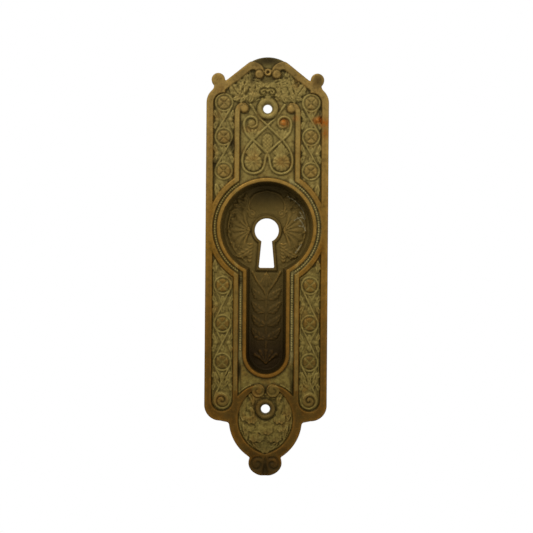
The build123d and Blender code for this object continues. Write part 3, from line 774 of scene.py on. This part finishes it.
def floor_foliage(x, z):
    """Low lumpy leafwork at the sides of the cup floor."""
    across = np.abs(x)
    reach = np.hypot(x, z - CUP_Z)
    ring = ramp((reach - 10.5) / 1.5) * ramp((18.4 - reach) / 1.0)
    sides = ring * ramp((across - 7.5) / 1.5)
    lumps = 0.25 + 0.45 * grain(across, z, 1.3, 8) + 0.3 * grain(across, z, 0.7, 9)
    return sides * ramp(lumps)


def floor_rise(x, z):
    """Rise of the ornament on the cup floor."""
    relief = Relief(x, z)
    relief.leaves(FLOOR_LEAVES + SLOT_LEAVES)
    for fan in (FLOOR_SHELL, SLOT_FAN, SLOT_FOOT):
        relief.disc(shell, *fan)
    relief.disc(scroll_boss, *FLOOR_SCROLL)
    relief.motif((HUSK_TOP[0], HUSK_TOP[1] - HUSK_LENGTH / 2), HUSK_LENGTH, husks)
    for run, half, rise in FLOOR_LINES:
        relief.line(run, half, rise)
    lip = key_distance(x, z, LIP)
    lip_top = LIP_RISE * ramp(-lip / LIP_EDGE) - rounded_edge(key_distance(x, z, 0), 0.3)
    rise = np.maximum(relief.rise, np.where(lip < 0, lip_top, floor_foliage(x, z)))
    groove = LIP_GROOVE * bell(lip - LIP_EDGE, LIP_EDGE)
    return rise - groove + 0.07 * grain(x, z, 1.2, 3) + 0.04 * grain(x, z, 0.6, 7)


# Thin scratches on the right of the cup floor
SCRATCHES = [
    curve([(9.5, 28.4), (13.2, 26.0), (16.0, 22.6), (17.4, 18.6)]),
    curve([(13.9, 19.1), (16.1, 16.4), (17.6, 12.8)]),
    curve([(12.4, 17.6), (15.2, 19.0), (17.2, 18.2)]),
    curve([(15.0, 21.4), (16.6, 18.4)]),
    curve([(14.4, 15.2), (17.2, 14.6)]),
    curve([(13.2, 3.0), (15.8, 6.8)]),
]


# Loops along the edges, each as an array of x and z


def follow(distance, start, step):
    """Walks once round the edge of a shape from a place on it."""

    def slope(place):
        e = 1e-4
        x = np.array([place[0] + e, place[0] - e, place[0], place[0], place[0]])
        z = np.array([place[1], place[1], place[1] + e, place[1] - e, place[1]])
        d = distance(x, z)
        normal = np.array([d[0] - d[1], d[2] - d[3]])
        return normal / np.hypot(*normal), d[4]

    def seated(place):
        for _ in range(4):
            normal, off = slope(place)
            place = place - normal * off
        return place, normal

    first, normal = seated(np.array(start, float))
    places, normals = [first], [normal]
    while len(places) < 5 or np.hypot(*(places[-1] - first)) > 0.75 * step:
        ahead = places[-1] + step * np.array([normals[-1][1], -normals[-1][0]])
        place, normal = seated(ahead)
        places.append(place)
        normals.append(normal)
    return np.array(places[:-1]), np.array(normals[:-1])


def arc(centre, radius, start, turn, count):
    angle = start + turn * np.linspace(0, 1, count, endpoint=False)
    return about(centre, radius, angle)


def line(start, end, count):
    return np.linspace(start, end, count, endpoint=False)


def cup_loop(inset):
    """The edge of the cup, drawn in by an inset, always with the same number of places."""
    round_radius, half = CUP_RADIUS - inset, SLOT_HALF - inset
    corner_z = CUP_Z - sqrt(round_radius**2 - half**2)
    corner = atan2(corner_z - CUP_Z, half)
    side = int((CUP_Z - CUP_RADIUS - SLOT_END_Z + 4) / EDGE_STEP)
    around = int(5.3 * CUP_RADIUS / EDGE_STEP)
    below = int(pi * SLOT_HALF / EDGE_STEP)
    return np.vstack([
        line((half, SLOT_END_Z), (half, corner_z), side),
        arc((0, CUP_Z), round_radius, corner, pi - 2 * corner, around),
        line((-half, corner_z), (-half, SLOT_END_Z), side),
        arc((0, SLOT_END_Z), half, pi, pi, below),
    ])


def key_loop(grow):
    """The edge of the keyhole, grown outwards, always with the same number of places."""
    neck, foot, low = KEY_NECK + grow, KEY_FOOT + grow, KEY_FOOT_Z - grow
    lean = (foot - neck) / (KEY_CENTRE[1] - low)
    radius = KEY_RADIUS + grow
    turn = 1.0
    for _ in range(8):
        turn = asin((neck + lean * radius * cos(turn)) / radius)
    start = turn - pi / 2
    join = (radius * sin(turn), KEY_CENTRE[1] - radius * cos(turn))
    corner = KEY_CORNER + grow / 2
    return np.vstack([
        arc(KEY_CENTRE, radius, start, 2 * pi - 2 * turn, 64),
        line((-join[0], join[1]), (-foot, low + corner), 22),
        arc((-foot + corner, low + corner), corner, pi, pi / 2, 6),
        line((-foot + corner, low), (foot - corner, low), 12),
        arc((foot - corner, low + corner), corner, -pi / 2, pi / 2, 6),
        line((foot, low + corner), (join[0], join[1]), 22),
    ])


def hole_loop(centre, radius):
    return arc(centre, radius, 0, 2 * pi, 44)


# Patches of the surface, gathered as corners and faces


class Surface:
    def __init__(self):
        self.corners = []
        self.faces = []
        self.count = 0

    def add(self, corners, faces):
        self.corners.append(np.asarray(corners, float))
        self.faces.append(np.asarray(faces, int) + self.count)
        self.count += len(corners)

    def band(self, near, near_y, far, far_y):
        """A strip between two loops with as many places."""
        count = len(near)
        first = np.column_stack([near[:, 0], np.broadcast_to(near_y, count), near[:, 1]])
        second = np.column_stack([far[:, 0], np.broadcast_to(far_y, count), far[:, 1]])
        i = np.arange(count)
        j = (i + 1) % count
        lower = np.column_stack([i, j, j + count])
        upper = np.column_stack([i, j + count, i + count])
        self.add(np.vstack([first, second]), np.vstack([lower, upper]))

    def wall(self, rings):
        """A wall of the cup's shape through rings, each with its inset and depth."""
        for (near, near_y), (far, far_y) in zip(rings[:-1], rings[1:]):
            self.band(cup_loop(near), near_y, cup_loop(far), far_y)

    def patch(self, outer, holes, inner, depth):
        """A sheet inside a loop, less some holes, with further places and a depth at each place."""
        loops = [outer, *holes]
        places = np.vstack([*loops, inner])
        edges = []
        start = 0
        for loop in loops:
            ends = np.arange(len(loop)) + start
            edges += list(zip(ends.tolist(), np.roll(ends, -1).tolist()))
            start += len(loop)
        flat = [Vector((float(x), float(z))) for x, z in places]
        out, _, faces, origins, _, _ = delaunay_2d_cdt(flat, edges, [], 0, 1e-5, True)
        flat = np.array([(p.x, p.y) for p in out])
        on_edge = np.array([min(ids, default=start) < start for ids in origins])
        faces = np.array(faces)
        middle = flat[faces].mean(1)
        keep = ~on_edge[faces].all(1)
        check = np.flatnonzero(~keep)
        inside = polygon(middle[check, 0], middle[check, 1], outer) < 0
        for hole in holes:
            inside &= polygon(middle[check, 0], middle[check, 1], hole) > 0
        keep[check] = inside
        y = np.broadcast_to(depth(flat[:, 0], flat[:, 1]), len(flat))
        self.add(np.column_stack([flat[:, 0], y, flat[:, 1]]), faces[keep])


def lattice(low, high, step):
    """Rows of evenly spread places, each row set over by half a step, with row and column numbers."""
    rows = np.arange(int((high[1] - low[1]) / (step * sqrt(0.75))) + 1)
    columns = np.arange(int((high[0] - low[0]) / step) + 1)
    column, row = np.meshgrid(columns, rows)
    x = low[0] + (column + 0.5 * (row % 2)) * step
    z = low[1] + row * step * sqrt(0.75)
    return x.ravel(), z.ravel(), row.ravel(), column.ravel()


def clear_of_screws(x, z, radius):
    return nearest(*[from_point(x, z, centre) for centre in SCREWS]) > radius


def back_places():
    """Places on the flat back of the plate, clear of its edges, of the cup and of the screw holes."""
    x, z, _, _ = lattice(*PLATE_AREA, PLATE_BACK_STEP)
    inside = (outline_distance(x, z) < -0.8) & (cup_distance(x, z, BACK_GROW) > 0.6)
    inside &= clear_of_screws(x, z, SCREW_HOLE + 0.4)
    return np.column_stack([x, z])[inside]


def cup_places(step, inset, from_edge, from_key):
    """Places inside the cup's shape, clear of its edge and of the keyhole."""
    x, z, _, _ = lattice(*CUP_AREA, step)
    inside = (cup_distance(x, z, -inset) < -from_edge) & (key_distance(x, z, 0) > from_key)
    return np.column_stack([x, z])[inside]


def drawn_to(x, z, distance, level, reach):
    """Moves the places near a level of a distance onto it."""
    e = 1e-3
    here = distance(x, z) - level
    slope_x = (distance(x + e, z) - distance(x - e, z)) / (2 * e)
    slope_z = (distance(x, z + e) - distance(x, z - e)) / (2 * e)
    size = slope_x**2 + slope_z**2
    near = (np.abs(here) < reach) & (size > 0.5)
    shift = np.where(near, here / np.maximum(size, 0.5), 0)
    return x - shift * slope_x, z - shift * slope_z


def thinned(places, cell):
    """Leaves one place to a cell."""
    keys = np.floor(places / cell).astype(int)
    _, first = np.unique(keys, axis=0, return_index=True)
    return places[np.sort(first)]


def front_places():
    """Places over the front: fine in the fields, coarser on plain tops, drawn to the edges of the straps."""
    x, z, row, column = lattice(*PLATE_AREA, STEP)
    inside = (outline_distance(x, z) < -0.75) & (cup_distance(x, z, 0) > 0.5)
    inside &= clear_of_screws(x, z, SCREW_HEAD + 0.2)
    x, z, row, column = x[inside], z[inside], row[inside], column[inside]
    field = field_distance(x, z)
    carved = (z < -85) | ((z > 80) & (np.abs(x) < 7)) | ((z < -54) & (np.abs(x) < 8))
    coarse = (row % (2 * COARSE) == 0) & (column % COARSE == 0)
    keep = (field < 0.75) | carved | coarse
    x, z = x[keep], z[keep]
    for level in (0.0, -EDGE_RAMP, EDGE_RAMP):
        x, z = drawn_to(x, z, field_distance, level, 0.4 * STEP)
    places = thinned(np.column_stack([x, z]), 0.4 * STEP)
    from_bead = np.full(len(places), np.inf)
    beads = np.vstack([BEADS, BEADS * (-1, 1)])
    for bead in beads:
        from_bead = np.minimum(from_bead, from_point(places[:, 0], places[:, 1], bead))
    places = places[from_bead > BEAD + 0.06]
    inner, outer = arc((0, 0), 0.55 * BEAD, 0, 2 * pi, 6), arc((0, 0), BEAD, pi / 6, 2 * pi, 6)
    star = np.vstack([(0, 0), inner, outer])
    return np.vstack([places, *[bead + star for bead in beads]])


def front_y(x, z):
    return -plate_height(x, z)


def add_front(surface, outline, normals, mouth, heads):
    """The carved front, with rows of places along its rounded edges."""
    inner = [front_places()]
    inner += [outline - normals * inset for inset in (0.1, 0.25, 0.5)]
    inner += [cup_loop(-inset) for inset in (0.1, 0.25)]
    surface.patch(outline, [mouth, *heads], np.vstack(inner), front_y)


def add_back(surface, outline, normals, bores):
    """The sides of the plate and its flat back, open where the cup stands out."""
    back_loop = outline - normals * BACK_ROUND
    surface.band(outline, front_y(*outline.T), outline, -BACK_ROUND)
    surface.band(outline, -BACK_ROUND, back_loop, 0)
    surface.patch(back_loop, [cup_loop(-BACK_GROW), *bores], back_places(), lambda x, z: 0.0)


def add_screw_hole(surface, head, bore):
    """A countersink with a small lip, and the bore behind it."""
    head_y = front_y(*head.T)
    lip = bore + (head - bore) * HEAD_LIP
    sink_y = -(GROUND + BOSS_RISE - COUNTERSINK)
    lip_y = head_y + (sink_y - head_y) * HEAD_LIP_DROP
    surface.band(head, head_y, lip, lip_y)
    surface.band(lip, lip_y, bore, sink_y)
    surface.band(bore, sink_y, bore, 0)


def add_cup(surface, mouth, keyhole):
    """The walls of the cup, with a fillet to the carved floor, and the sides of the keyhole."""
    top_y = front_y(*mouth.T)
    rings = [(0.0, top_y)]
    for share in np.linspace(0, 1, WALL_RINGS)[1:] ** 0.8:
        y = top_y + (FLOOR - FLOOR_FILLET - top_y) * share
        rings.append(((FACE + float(np.mean(y))) * DRAFT, y))
    foot_inset = rings[-1][0]
    for turn in (30, 60, 90):
        inset = foot_inset + FLOOR_FILLET * (1 - cos(radians(turn)))
        rings.append((inset, FLOOR - FLOOR_FILLET + FLOOR_FILLET * sin(radians(turn))))
    surface.wall(rings)
    floor_inset = rings[-1][0]

    def floor_y(x, z):
        return FLOOR - ramp(-cup_distance(x, z, -floor_inset) / 0.4) * floor_rise(x, z)

    places = [cup_places(STEP * 1.1, floor_inset, 0.3, 0.45)]
    places += [key_loop(grow) for grow in (0.1, 0.25)]
    for run in SCRATCHES:
        places += [run + (0, shift) for shift in (-0.2, 0, 0.2)]
    surface.patch(cup_loop(floor_inset), [keyhole], np.vstack(places), floor_y)
    surface.band(keyhole, floor_y(*keyhole.T), keyhole, CUP_BACK)


def add_cup_back(surface, keyhole):
    """The outside of the cup behind the plate, rounded to its flat end."""
    steps = [(0.0, 0.0), (0.33, 0.0), (0.66, 0.0), (0.94, 0.0), (0.98, 0.15), (1.0, 0.5)]
    rings = [(-BACK_GROW + CUP_BACK * share * DRAFT + extra, CUP_BACK * share) for share, extra in steps]
    end_inset = rings[-1][0]
    surface.wall(rings)
    places = cup_places(CUP_BACK_STEP, end_inset, 0.5, 0.5)
    surface.patch(cup_loop(end_inset), [keyhole], places, lambda x, z: CUP_BACK)


def plate_surface():
    surface = Surface()
    outline, normals = follow(outline_distance, (0, CROWN_Z + CROWN_RADIUS), EDGE_STEP)
    mouth, keyhole = cup_loop(0), key_loop(0)
    heads = [hole_loop(centre, SCREW_HEAD) for centre in SCREWS]
    bores = [hole_loop(centre, SCREW_HOLE) for centre in SCREWS]
    add_front(surface, outline, normals, mouth, heads)
    add_back(surface, outline, normals, bores)
    for head, bore in zip(heads, bores):
        add_screw_hole(surface, head, bore)
    add_cup(surface, mouth, keyhole)
    add_cup_back(surface, keyhole)
    return surface


# Mesh and its surface marks


def plate_mesh():
    surface = plate_surface()
    mesh = bpy.data.meshes.new("cast_plate")
    corners = np.vstack(surface.corners) * MM
    mesh.from_pydata(corners.tolist(), [], np.vstack(surface.faces).tolist())
    edit = bmesh.new()
    edit.from_mesh(mesh)
    bmesh.ops.remove_doubles(edit, verts=edit.verts, dist=0.004 * MM)
    bmesh.ops.dissolve_degenerate(edit, edges=edit.edges, dist=0.002 * MM)
    bmesh.ops.recalc_face_normals(edit, faces=edit.faces)
    edit.to_mesh(mesh)
    edit.free()
    mesh.shade_smooth()
    mesh.set_sharp_from_angle(angle=radians(62))
    return mesh


def vectors(source, name):
    """Places or normals of a mesh, as rows of three."""
    values = np.zeros(len(source) * 3, np.float32)
    source.foreach_get(name, values)
    return values.reshape(-1, 3).astype(float)


def spread(values, edges, passes):
    """Evens out values over the mesh, each vertex with its neighbours."""
    count = len(values)
    a, b = edges[:, 0], edges[:, 1]
    degree = np.bincount(a, minlength=count) + np.bincount(b, minlength=count)
    for _ in range(passes):
        total = np.empty_like(values)
        for k in range(values.shape[1]):
            total[:, k] = np.bincount(a, values[b, k], count) + np.bincount(b, values[a, k], count)
        values = 0.5 * values + 0.5 * total / degree[:, None]
    return values


def mark(mesh, name, values):
    layer = mesh.attributes.new(name, "FLOAT", "POINT")
    layer.data.foreach_set("value", ramp(values).astype(np.float32))


# Patches seen on the front, each with its place, its reach across and up, and its strength
RUST_SPOTS = [
    (7.4, 60.7, 2.0, 2.0, 1.0),
    (22.6, 61.8, 2.6, 1.8, 0.85),
    (25.4, 60.8, 2.2, 2.0, 0.95),
    (25.8, 56.0, 1.5, 2.2, 0.6),
    (12.6, 62.6, 1.6, 1.4, 0.35),
]
# Dark patches: partly painted shade in the crown's dip and fan, along the edges of the straps and panels and
# on the right ear, partly darker patches of the metal.
DARK_SPOTS = [
    (0.0, 88.6, 7.6, 3.0, 0.95),
    (0.0, 79.8, 4.6, 1.3, 0.5),
    (-6.6, 80.2, 1.3, 2.6, 0.75),
    (22.4, 79.6, 2.6, 3.0, 0.65),
    (11.2, -51.0, 1.4, 3.0, 0.5),
    (-11.8, -49.8, 0.9, 4.2, 1.0),
    (0.0, -93.0, 8.0, 4.6, 0.7),
    (0.0, -67.0, 4.8, 4.8, 0.65),
    (0.0, -83.0, 8.0, 4.5, 0.4),
    (0.0, -57.5, 1.2, 3.0, 0.5),
    (-11.5, 82.8, 5.5, 4.0, 0.32),
    (11.5, 82.8, 5.5, 4.0, 0.24),
    (24.0, 13.8, 4.0, 12.0, 0.14),
    (-11.5, -25.0, 4.0, 18.0, 0.12),
    (25.8, 56.5, 1.4, 2.4, 0.3),
    (-11.8, -9.8, 0.9, 3.6, 0.85),
    (11.8, -57.0, 0.9, 4.0, 0.8),
    (-19.5, 55.0, 5.0, 16.0, 0.1),
    (-15.7, 50.4, 1.3, 3.2, 0.9),
    (-23.5, 42.1, 0.9, 3.6, 0.8),
    (23.3, 64.4, 0.9, 4.2, 0.8),
]
# Shade inside the cup, in the same form
CUP_SHADES = [
    (0.0, 33.5, 15.0, 9.0, 0.85),
    (-13.0, 27.0, 7.0, 5.0, 0.4),
    (13.0, 27.0, 7.0, 5.0, 0.4),
]


def patches(x, z, spots):
    amount = np.zeros(len(x))
    for spot_x, spot_z, reach_x, reach_z, strength in spots:
        away = ((x - spot_x) / reach_x) ** 2 + ((z - spot_z) / reach_z) ** 2
        amount = np.maximum(amount, strength * np.exp(-(away**1.5)))
    return amount


def hollows(mesh, co, normal):
    """How far each vertex lies below what is close to it, and below its wider surroundings."""
    edges = np.zeros(len(mesh.edges) * 2, np.int32)
    mesh.edges.foreach_get("vertices", edges)
    edges = edges.reshape(-1, 2)
    near = spread(co, edges, 6)
    wide = spread(near, edges, 40)
    return ((near - co) * normal).sum(1), ((wide - co) * normal).sum(1)


def rosette_places(across, z):
    """Where the rosettes are, and where the pale crosses of the lower ones are."""
    discs = np.zeros(len(z), bool)
    pale = np.zeros(len(z), bool)
    for row in UPPER_ROWS + LOWER_ROWS:
        disc = circle(across, z, (PANEL_X, row), ROSETTE) < 0
        cross = np.minimum(np.abs(across - PANEL_X - z + row), np.abs(across - PANEL_X + z - row))
        discs |= disc
        pale |= disc & (cross < 0.6) & (row in LOWER_ROWS)
    return discs, pale


def surface_marks(mesh):
    """How sunk, worn, rusty and sheltered each vertex is, for the metal's colour, with painted shade in
    hollows and in the cup and painted highlights on edges.
    """
    co = vectors(mesh.vertices, "co") / MM
    normal = vectors(mesh.vertex_normals, "vector")
    fine, broad = hollows(mesh, co, normal)
    x, y, z = co.T
    back = normal[:, 1]
    across = np.abs(x)
    front = y < 0
    cup = cup_distance(x, z, 0)
    in_cup = cup < 0.05
    lip = (y > 0) & (key_distance(x, z, 0) < LIP)
    shield = shield_distance(x, z, SHIELD_BAND)
    shield_edge = front * (z < SHIELD_TOP) * bell(shield, 1.2)
    on_boss = nearest(circle(x, z, TOP_SCREW, TOP_BOSS), circle(x, z, BOTTOM_SCREW, BOTTOM_BOSS)) < -0.3
    channel = front * (cup > RIM) * (cup < RIM + BEAD_CHANNEL) * (across > 10)
    channel = channel * ramp((z - SLOT_END_Z + 5) / 4)
    bars = front & (np.abs(across - HOOK[0][0]) < 0.8) & (z < HOOK_BALL[0][1]) & (z > SCROLL[0][1])
    discs, pale = rosette_places(across, z)

    # Hollows darken with dirt and painted shade, less on the bosses, the back, the channel and the edge of
    # the shield.
    shelter = np.where(on_boss | (back > 0.3), 0.3, 1.0) * (1 - 0.3 * channel) * (1 - 0.7 * shield_edge)
    sunken = np.where(in_cup, 1.8 * fine + 0.2 * broad, 2.6 * fine + 1.4 * broad)
    # Edges and ridges lighter: wear and painted highlights.
    worn_and_highlit = np.where(on_boss | lip, 0.4, 1.0) * (-3.4 * fine - 0.7 * broad)
    wall = ramp(1 - 1.4 * np.abs(back)) * (y < FLOOR) * (0.6 - 0.52 * bell(z - CUP_Z, 12))
    # Painted shadow under the top of the cup, and painted shade on its walls and on the keyhole lip.
    shade = np.maximum(patches(x, z, CUP_SHADES), np.maximum(0.3 * lip, wall)) * in_cup
    raised = np.where(front & (shield < 0), 0.6, 0.25) * ramp((-y - GROUND - 0.5) / 0.5)
    raised = np.where(discs & ~pale, np.where(z > 0, 0.6, 0.75), raised)
    raised = np.maximum(raised, 0.6 * (circle(across, z, (PANEL_X, PANEL_END_Z), ROSETTE) < 0))
    sunk = ramp(-field_distance(x, z) / 0.5) * (1 - raised)
    scroll = 0.4 * (circle(across, z, *SCROLL) < 0)
    scratch = nearest(*[stroke(x, z, run) for run in SCRATCHES])

    # Darkening in hollows: dirt and painted shade.
    mark(mesh, "hollow_dirt_and_shade", shelter * np.where(pale, 0.3, 1.0) * sunken)
    # Lighter edges, ridges, middles of the bars and a line along the shield's band: wear and painted
    # highlight.
    mark(mesh, "wear_and_highlight", np.maximum(worn_and_highlit + 0.2 * shield_edge, 0.7 * bars))
    mark(mesh, "rust", front * patches(x, z, RUST_SPOTS))
    # Painted shadow and shade in the cup, and the dark patches on the front.
    mark(mesh, "dark", np.maximum(front * patches(x, z, DARK_SPOTS), (y > -2.4) * shade))
    # Share of the way up the plate, for colours that lighten towards the top: partly the metal's own change
    # of tone, partly painted light from above.
    mark(mesh, "height", (z - LOW_END) / LENGTH)
    mark(mesh, "field", front * np.maximum(sunk, np.maximum(scroll, 0.35 * bars)))
    mark(mesh, "scratch", (y > 4) * (back < 0) * bell(scratch, 0.15))
    mark(mesh, "channel", channel * np.where((x > 0) | (z < -8), 0.9, 0.12))
    # Darker tone inside the cup from just below its mouth: darker patina on the floor and painted shade on
    # the walls.
    mark(mesh, "cup", ramp((y + 3.2) / 0.7) * in_cup)
    mark(mesh, "slot", ramp((4 - z) / 46))


# Material


def srgb(red, green, blue):
    """A colour given as display values from 0 to 255."""
    values = [v / 255 for v in (red, green, blue)]
    return [v / 12.92 if v <= 0.04045 else ((v + 0.055) / 1.055) ** 2.4 for v in values] + [1.0]


class Nodes:
    """A short way to write a node tree."""

    def __init__(self, owner):
        owner.use_nodes = True
        self.tree = owner.node_tree
        self.tree.nodes.clear()

    def new(self, kind, inputs, **settings):
        """A node with its settings, and with a plain value or a link at each named input."""
        node = self.tree.nodes.new(kind)
        for name, value in settings.items():
            setattr(node, name, value)
        for name, value in inputs.items():
            if isinstance(value, bpy.types.NodeSocket):
                self.tree.links.new(value, node.inputs[name])
            else:
                node.inputs[name].default_value = value
        return node

    def attribute(self, name):
        return self.new("ShaderNodeAttribute", {}, attribute_name=name).outputs["Fac"]

    def noise(self, scale, detail, rough=0.6):
        inputs = {"Vector": self.place, "Scale": scale, "Detail": detail, "Roughness": rough}
        return self.new("ShaderNodeTexNoise", inputs).outputs["Fac"]

    def math(self, operation, a, b):
        return self.new("ShaderNodeMath", {0: a, 1: b}, operation=operation, use_clamp=True).outputs[0]

    def remap(self, value, low, high, to_low=0.0, to_high=1.0):
        inputs = {"Value": value, "From Min": low, "From Max": high, "To Min": to_low, "To Max": to_high}
        return self.new("ShaderNodeMapRange", inputs).outputs["Result"]

    def mix(self, share, a, b):
        """A mix of two colours: its colour sockets are the inputs 6 and 7 and the output 2."""
        return self.new("ShaderNodeMix", {0: share, 6: a, 7: b}, data_type="RGBA").outputs[2]

    def coat(self, colour, share, strength, tone):
        """Lays a tone over a colour, by a share and its strength."""
        return self.mix(self.math("MULTIPLY", share, strength), colour, tone)


# Metal, patina and wear colours are lighter towards the top: partly the metal's own change of tone, partly
# painted light falling from above.
TOP_METAL = srgb(126, 101, 52)
MIDDLE_METAL = srgb(118, 80, 8)
LOW_METAL = srgb(66, 43, 4)
TOP_PATINA = srgb(136, 119, 64)
LOW_PATINA = srgb(120, 103, 48)
CHANNEL = srgb(160, 146, 92)
DIRT_AND_SHADE = srgb(44, 35, 12)
PIT = srgb(66, 50, 18)
TOP_WORN_AND_HIGHLIT = srgb(154, 124, 62)
LOW_WORN_AND_HIGHLIT = srgb(132, 92, 32)
CUP_TONE = srgb(101, 84, 41)
SLOT_TONE = srgb(38, 27, 9)
DARK_PATCH_AND_SHADE = srgb(40, 31, 10)
RUST = srgb(144, 73, 2)
BLOOM_AND_HIGHLIGHT = srgb(146, 132, 76)
STAIN = srgb(124, 74, 8)
LINT = srgb(160, 150, 116)


def bronze():
    material = bpy.data.materials.new("aged_bronze")
    n = Nodes(material)
    n.place = n.new("ShaderNodeTexCoord", {}).outputs["Object"]
    height, hollow_dirt_and_shade, wear_and_highlight, field, cup = map(n.attribute, ("height", "hollow_dirt_and_shade", "wear_and_highlight", "field", "cup"))
    mottle = n.noise(220, 6)
    cloud = n.noise(60, 4)
    stain = n.noise(130, 5)
    speck = n.noise(1500, 3)
    pitting = n.noise(620, 5, 0.65)
    # Lighter towards the top by height: partly the metal's own change of tone, partly painted light from
    # above.
    metal = n.mix(n.remap(height, 0.28, 0.6), LOW_METAL, MIDDLE_METAL)
    metal = n.mix(n.remap(height, 0.56, 0.9), metal, TOP_METAL)
    patina = n.mix(n.remap(height, 0.2, 0.85), LOW_PATINA, TOP_PATINA)
    worn_and_highlit = n.mix(n.remap(height, 0.3, 0.8), LOW_WORN_AND_HIGHLIT, TOP_WORN_AND_HIGHLIT)
    worn_and_highlit = n.mix(field, worn_and_highlit, BLOOM_AND_HIGHLIGHT)
    film = n.math("MULTIPLY", n.remap(mottle, 0.42, 0.7), 0.22)
    colour = n.mix(n.math("ADD", film, n.math("MULTIPLY", field, 0.85)), metal, patina)
    colour = n.coat(colour, n.remap(cloud, 0.5, 0.75), 0.3, LOW_METAL)
    colour = n.coat(colour, n.remap(stain, 0.52, 0.68), 0.35, STAIN)
    colour = n.coat(colour, n.attribute("channel"), 0.8, CHANNEL)
    colour = n.coat(colour, n.remap(speck, 0.62, 0.8), 0.2, BLOOM_AND_HIGHLIGHT)
    colour = n.coat(colour, n.remap(pitting, 0.48, 0.7), 0.7, PIT)
    colour = n.coat(colour, n.remap(pitting, 0.46, 0.28), 0.4, worn_and_highlit)
    # Darker tone inside the cup, darker down the slot: darker patina on the floor and painted shade on the
    # walls.
    depth = n.mix(n.attribute("slot"), CUP_TONE, SLOT_TONE)
    colour = n.coat(colour, cup, 0.9, depth)
    # Darkening in hollows: dirt and painted shade.
    colour = n.coat(colour, n.remap(hollow_dirt_and_shade, 0.15, 1.0), n.remap(mottle, 0.2, 0.6, 0.55, 0.9), DIRT_AND_SHADE)
    # Lighter edges and ridges: wear and painted highlight; the same share makes them more metallic and
    # glossier.
    polish_and_highlight = n.math("MULTIPLY", n.remap(wear_and_highlight, 0.1, 0.9), n.remap(mottle, 0.3, 0.7, 0.7, 0.2))
    colour = n.mix(polish_and_highlight, colour, worn_and_highlit)
    # Painted shadow and shade in the cup and on the front, and darker patches of the metal.
    colour = n.mix(n.attribute("dark"), colour, DARK_PATCH_AND_SHADE)
    colour = n.coat(colour, n.attribute("rust"), n.remap(pitting, 0.62, 0.42, 0.3, 1.0), RUST)
    colour = n.coat(colour, n.attribute("scratch"), 0.85, LINT)
    gloss = n.math("MULTIPLY", polish_and_highlight, 0.2)
    bump = n.new("ShaderNodeBump", {"Strength": 0.5, "Distance": 0.16 * MM, "Height": n.noise(2600, 5, 0.7)})
    shader = n.new("ShaderNodeBsdfPrincipled", {
        "Base Color": colour,
        "Metallic": n.remap(polish_and_highlight, 0, 1, 0.3, 0.7),
        "Roughness": n.math("SUBTRACT", n.remap(mottle, 0.3, 0.7, 0.5, 0.66), gloss),
        "Specular IOR Level": 0.08,
        "Normal": bump.outputs["Normal"],
    })
    n.new("ShaderNodeOutputMaterial", {"Surface": shader.outputs["BSDF"]})
    return material


# The plate

mesh = plate_mesh()
surface_marks(mesh)
mesh.materials.append(bronze())
plate = bpy.data.objects.new("cast_plate", mesh)
bpy.context.scene.collection.objects.link(plate)
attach(plate, "root")
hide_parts("door_plate")

# Floor

FLOOR_Z = -0.2
FLOOR_SIZE = 0.3


def pale_floor():
    material = bpy.data.materials.new("pale_floor")
    material.use_nodes = True
    shader = material.node_tree.nodes["Principled BSDF"]
    shader.inputs["Base Color"].default_value = srgb(232, 231, 228)
    shader.inputs["Roughness"].default_value = 0.8
    return material


bpy.ops.mesh.primitive_circle_add(vertices=96, radius=FLOOR_SIZE, fill_type="NGON", location=(0, 0, FLOOR_Z))
floor = bpy.context.object
floor.name = "floor"
floor.data.materials.append(pale_floor())

# Light: a white surround for what the camera and the metal see, and soft lamps from above

SURROUND = 0.28


def surround():
    world = bpy.data.worlds.new("surround")
    bpy.context.scene.world = world
    n = Nodes(world)
    path = n.new("ShaderNodeLightPath", {}).outputs
    shiny = n.math("MAXIMUM", path["Is Glossy Ray"], path["Is Transmission Ray"])
    seen = n.math("MAXIMUM", path["Is Camera Ray"], shiny)
    strength = n.remap(seen, 0, 1, SURROUND, 1)
    light = n.new("ShaderNodeBackground", {"Color": (1, 1, 1, 1), "Strength": strength})
    n.new("ShaderNodeOutputWorld", {"Surface": light.outputs["Background"]})


def lamp(name, place, size, power):
    light = bpy.data.lights.new(name, "AREA")
    light.shape = "DISK"
    light.size = size
    light.energy = power
    lamp_object = bpy.data.objects.new(name, light)
    lamp_object.location = place
    lamp_object.rotation_euler = (-Vector(place)).to_track_quat("-Z", "Y").to_euler()
    bpy.context.scene.collection.objects.link(lamp_object)


surround()
lamp("key", (-0.18, -0.42, 0.5), 0.35, 2.6)
lamp("fill", (0.35, -0.6, 0.1), 0.5, 0.8)

# Camera: straight on, with the slight roll of the plate in the picture

VIEW_DISTANCE = 0.5
VIEW_Z = -0.0034
VIEW_WIDTH = 533 * 0.445 * MM
SENSOR = 36.0
ROLL = radians(0.44)

camera_data = bpy.data.cameras.new("camera")
camera_data.sensor_width = SENSOR
camera_data.lens = SENSOR * (VIEW_DISTANCE - FACE * MM) / VIEW_WIDTH
camera = bpy.data.objects.new("camera", camera_data)
camera.location = (0, -VIEW_DISTANCE, VIEW_Z)
camera.rotation_euler = (pi / 2, -ROLL, 0)
bpy.context.scene.collection.objects.link(camera)
bpy.context.scene.camera = camera
bpy.context.scene.view_settings.view_transform = "Standard"
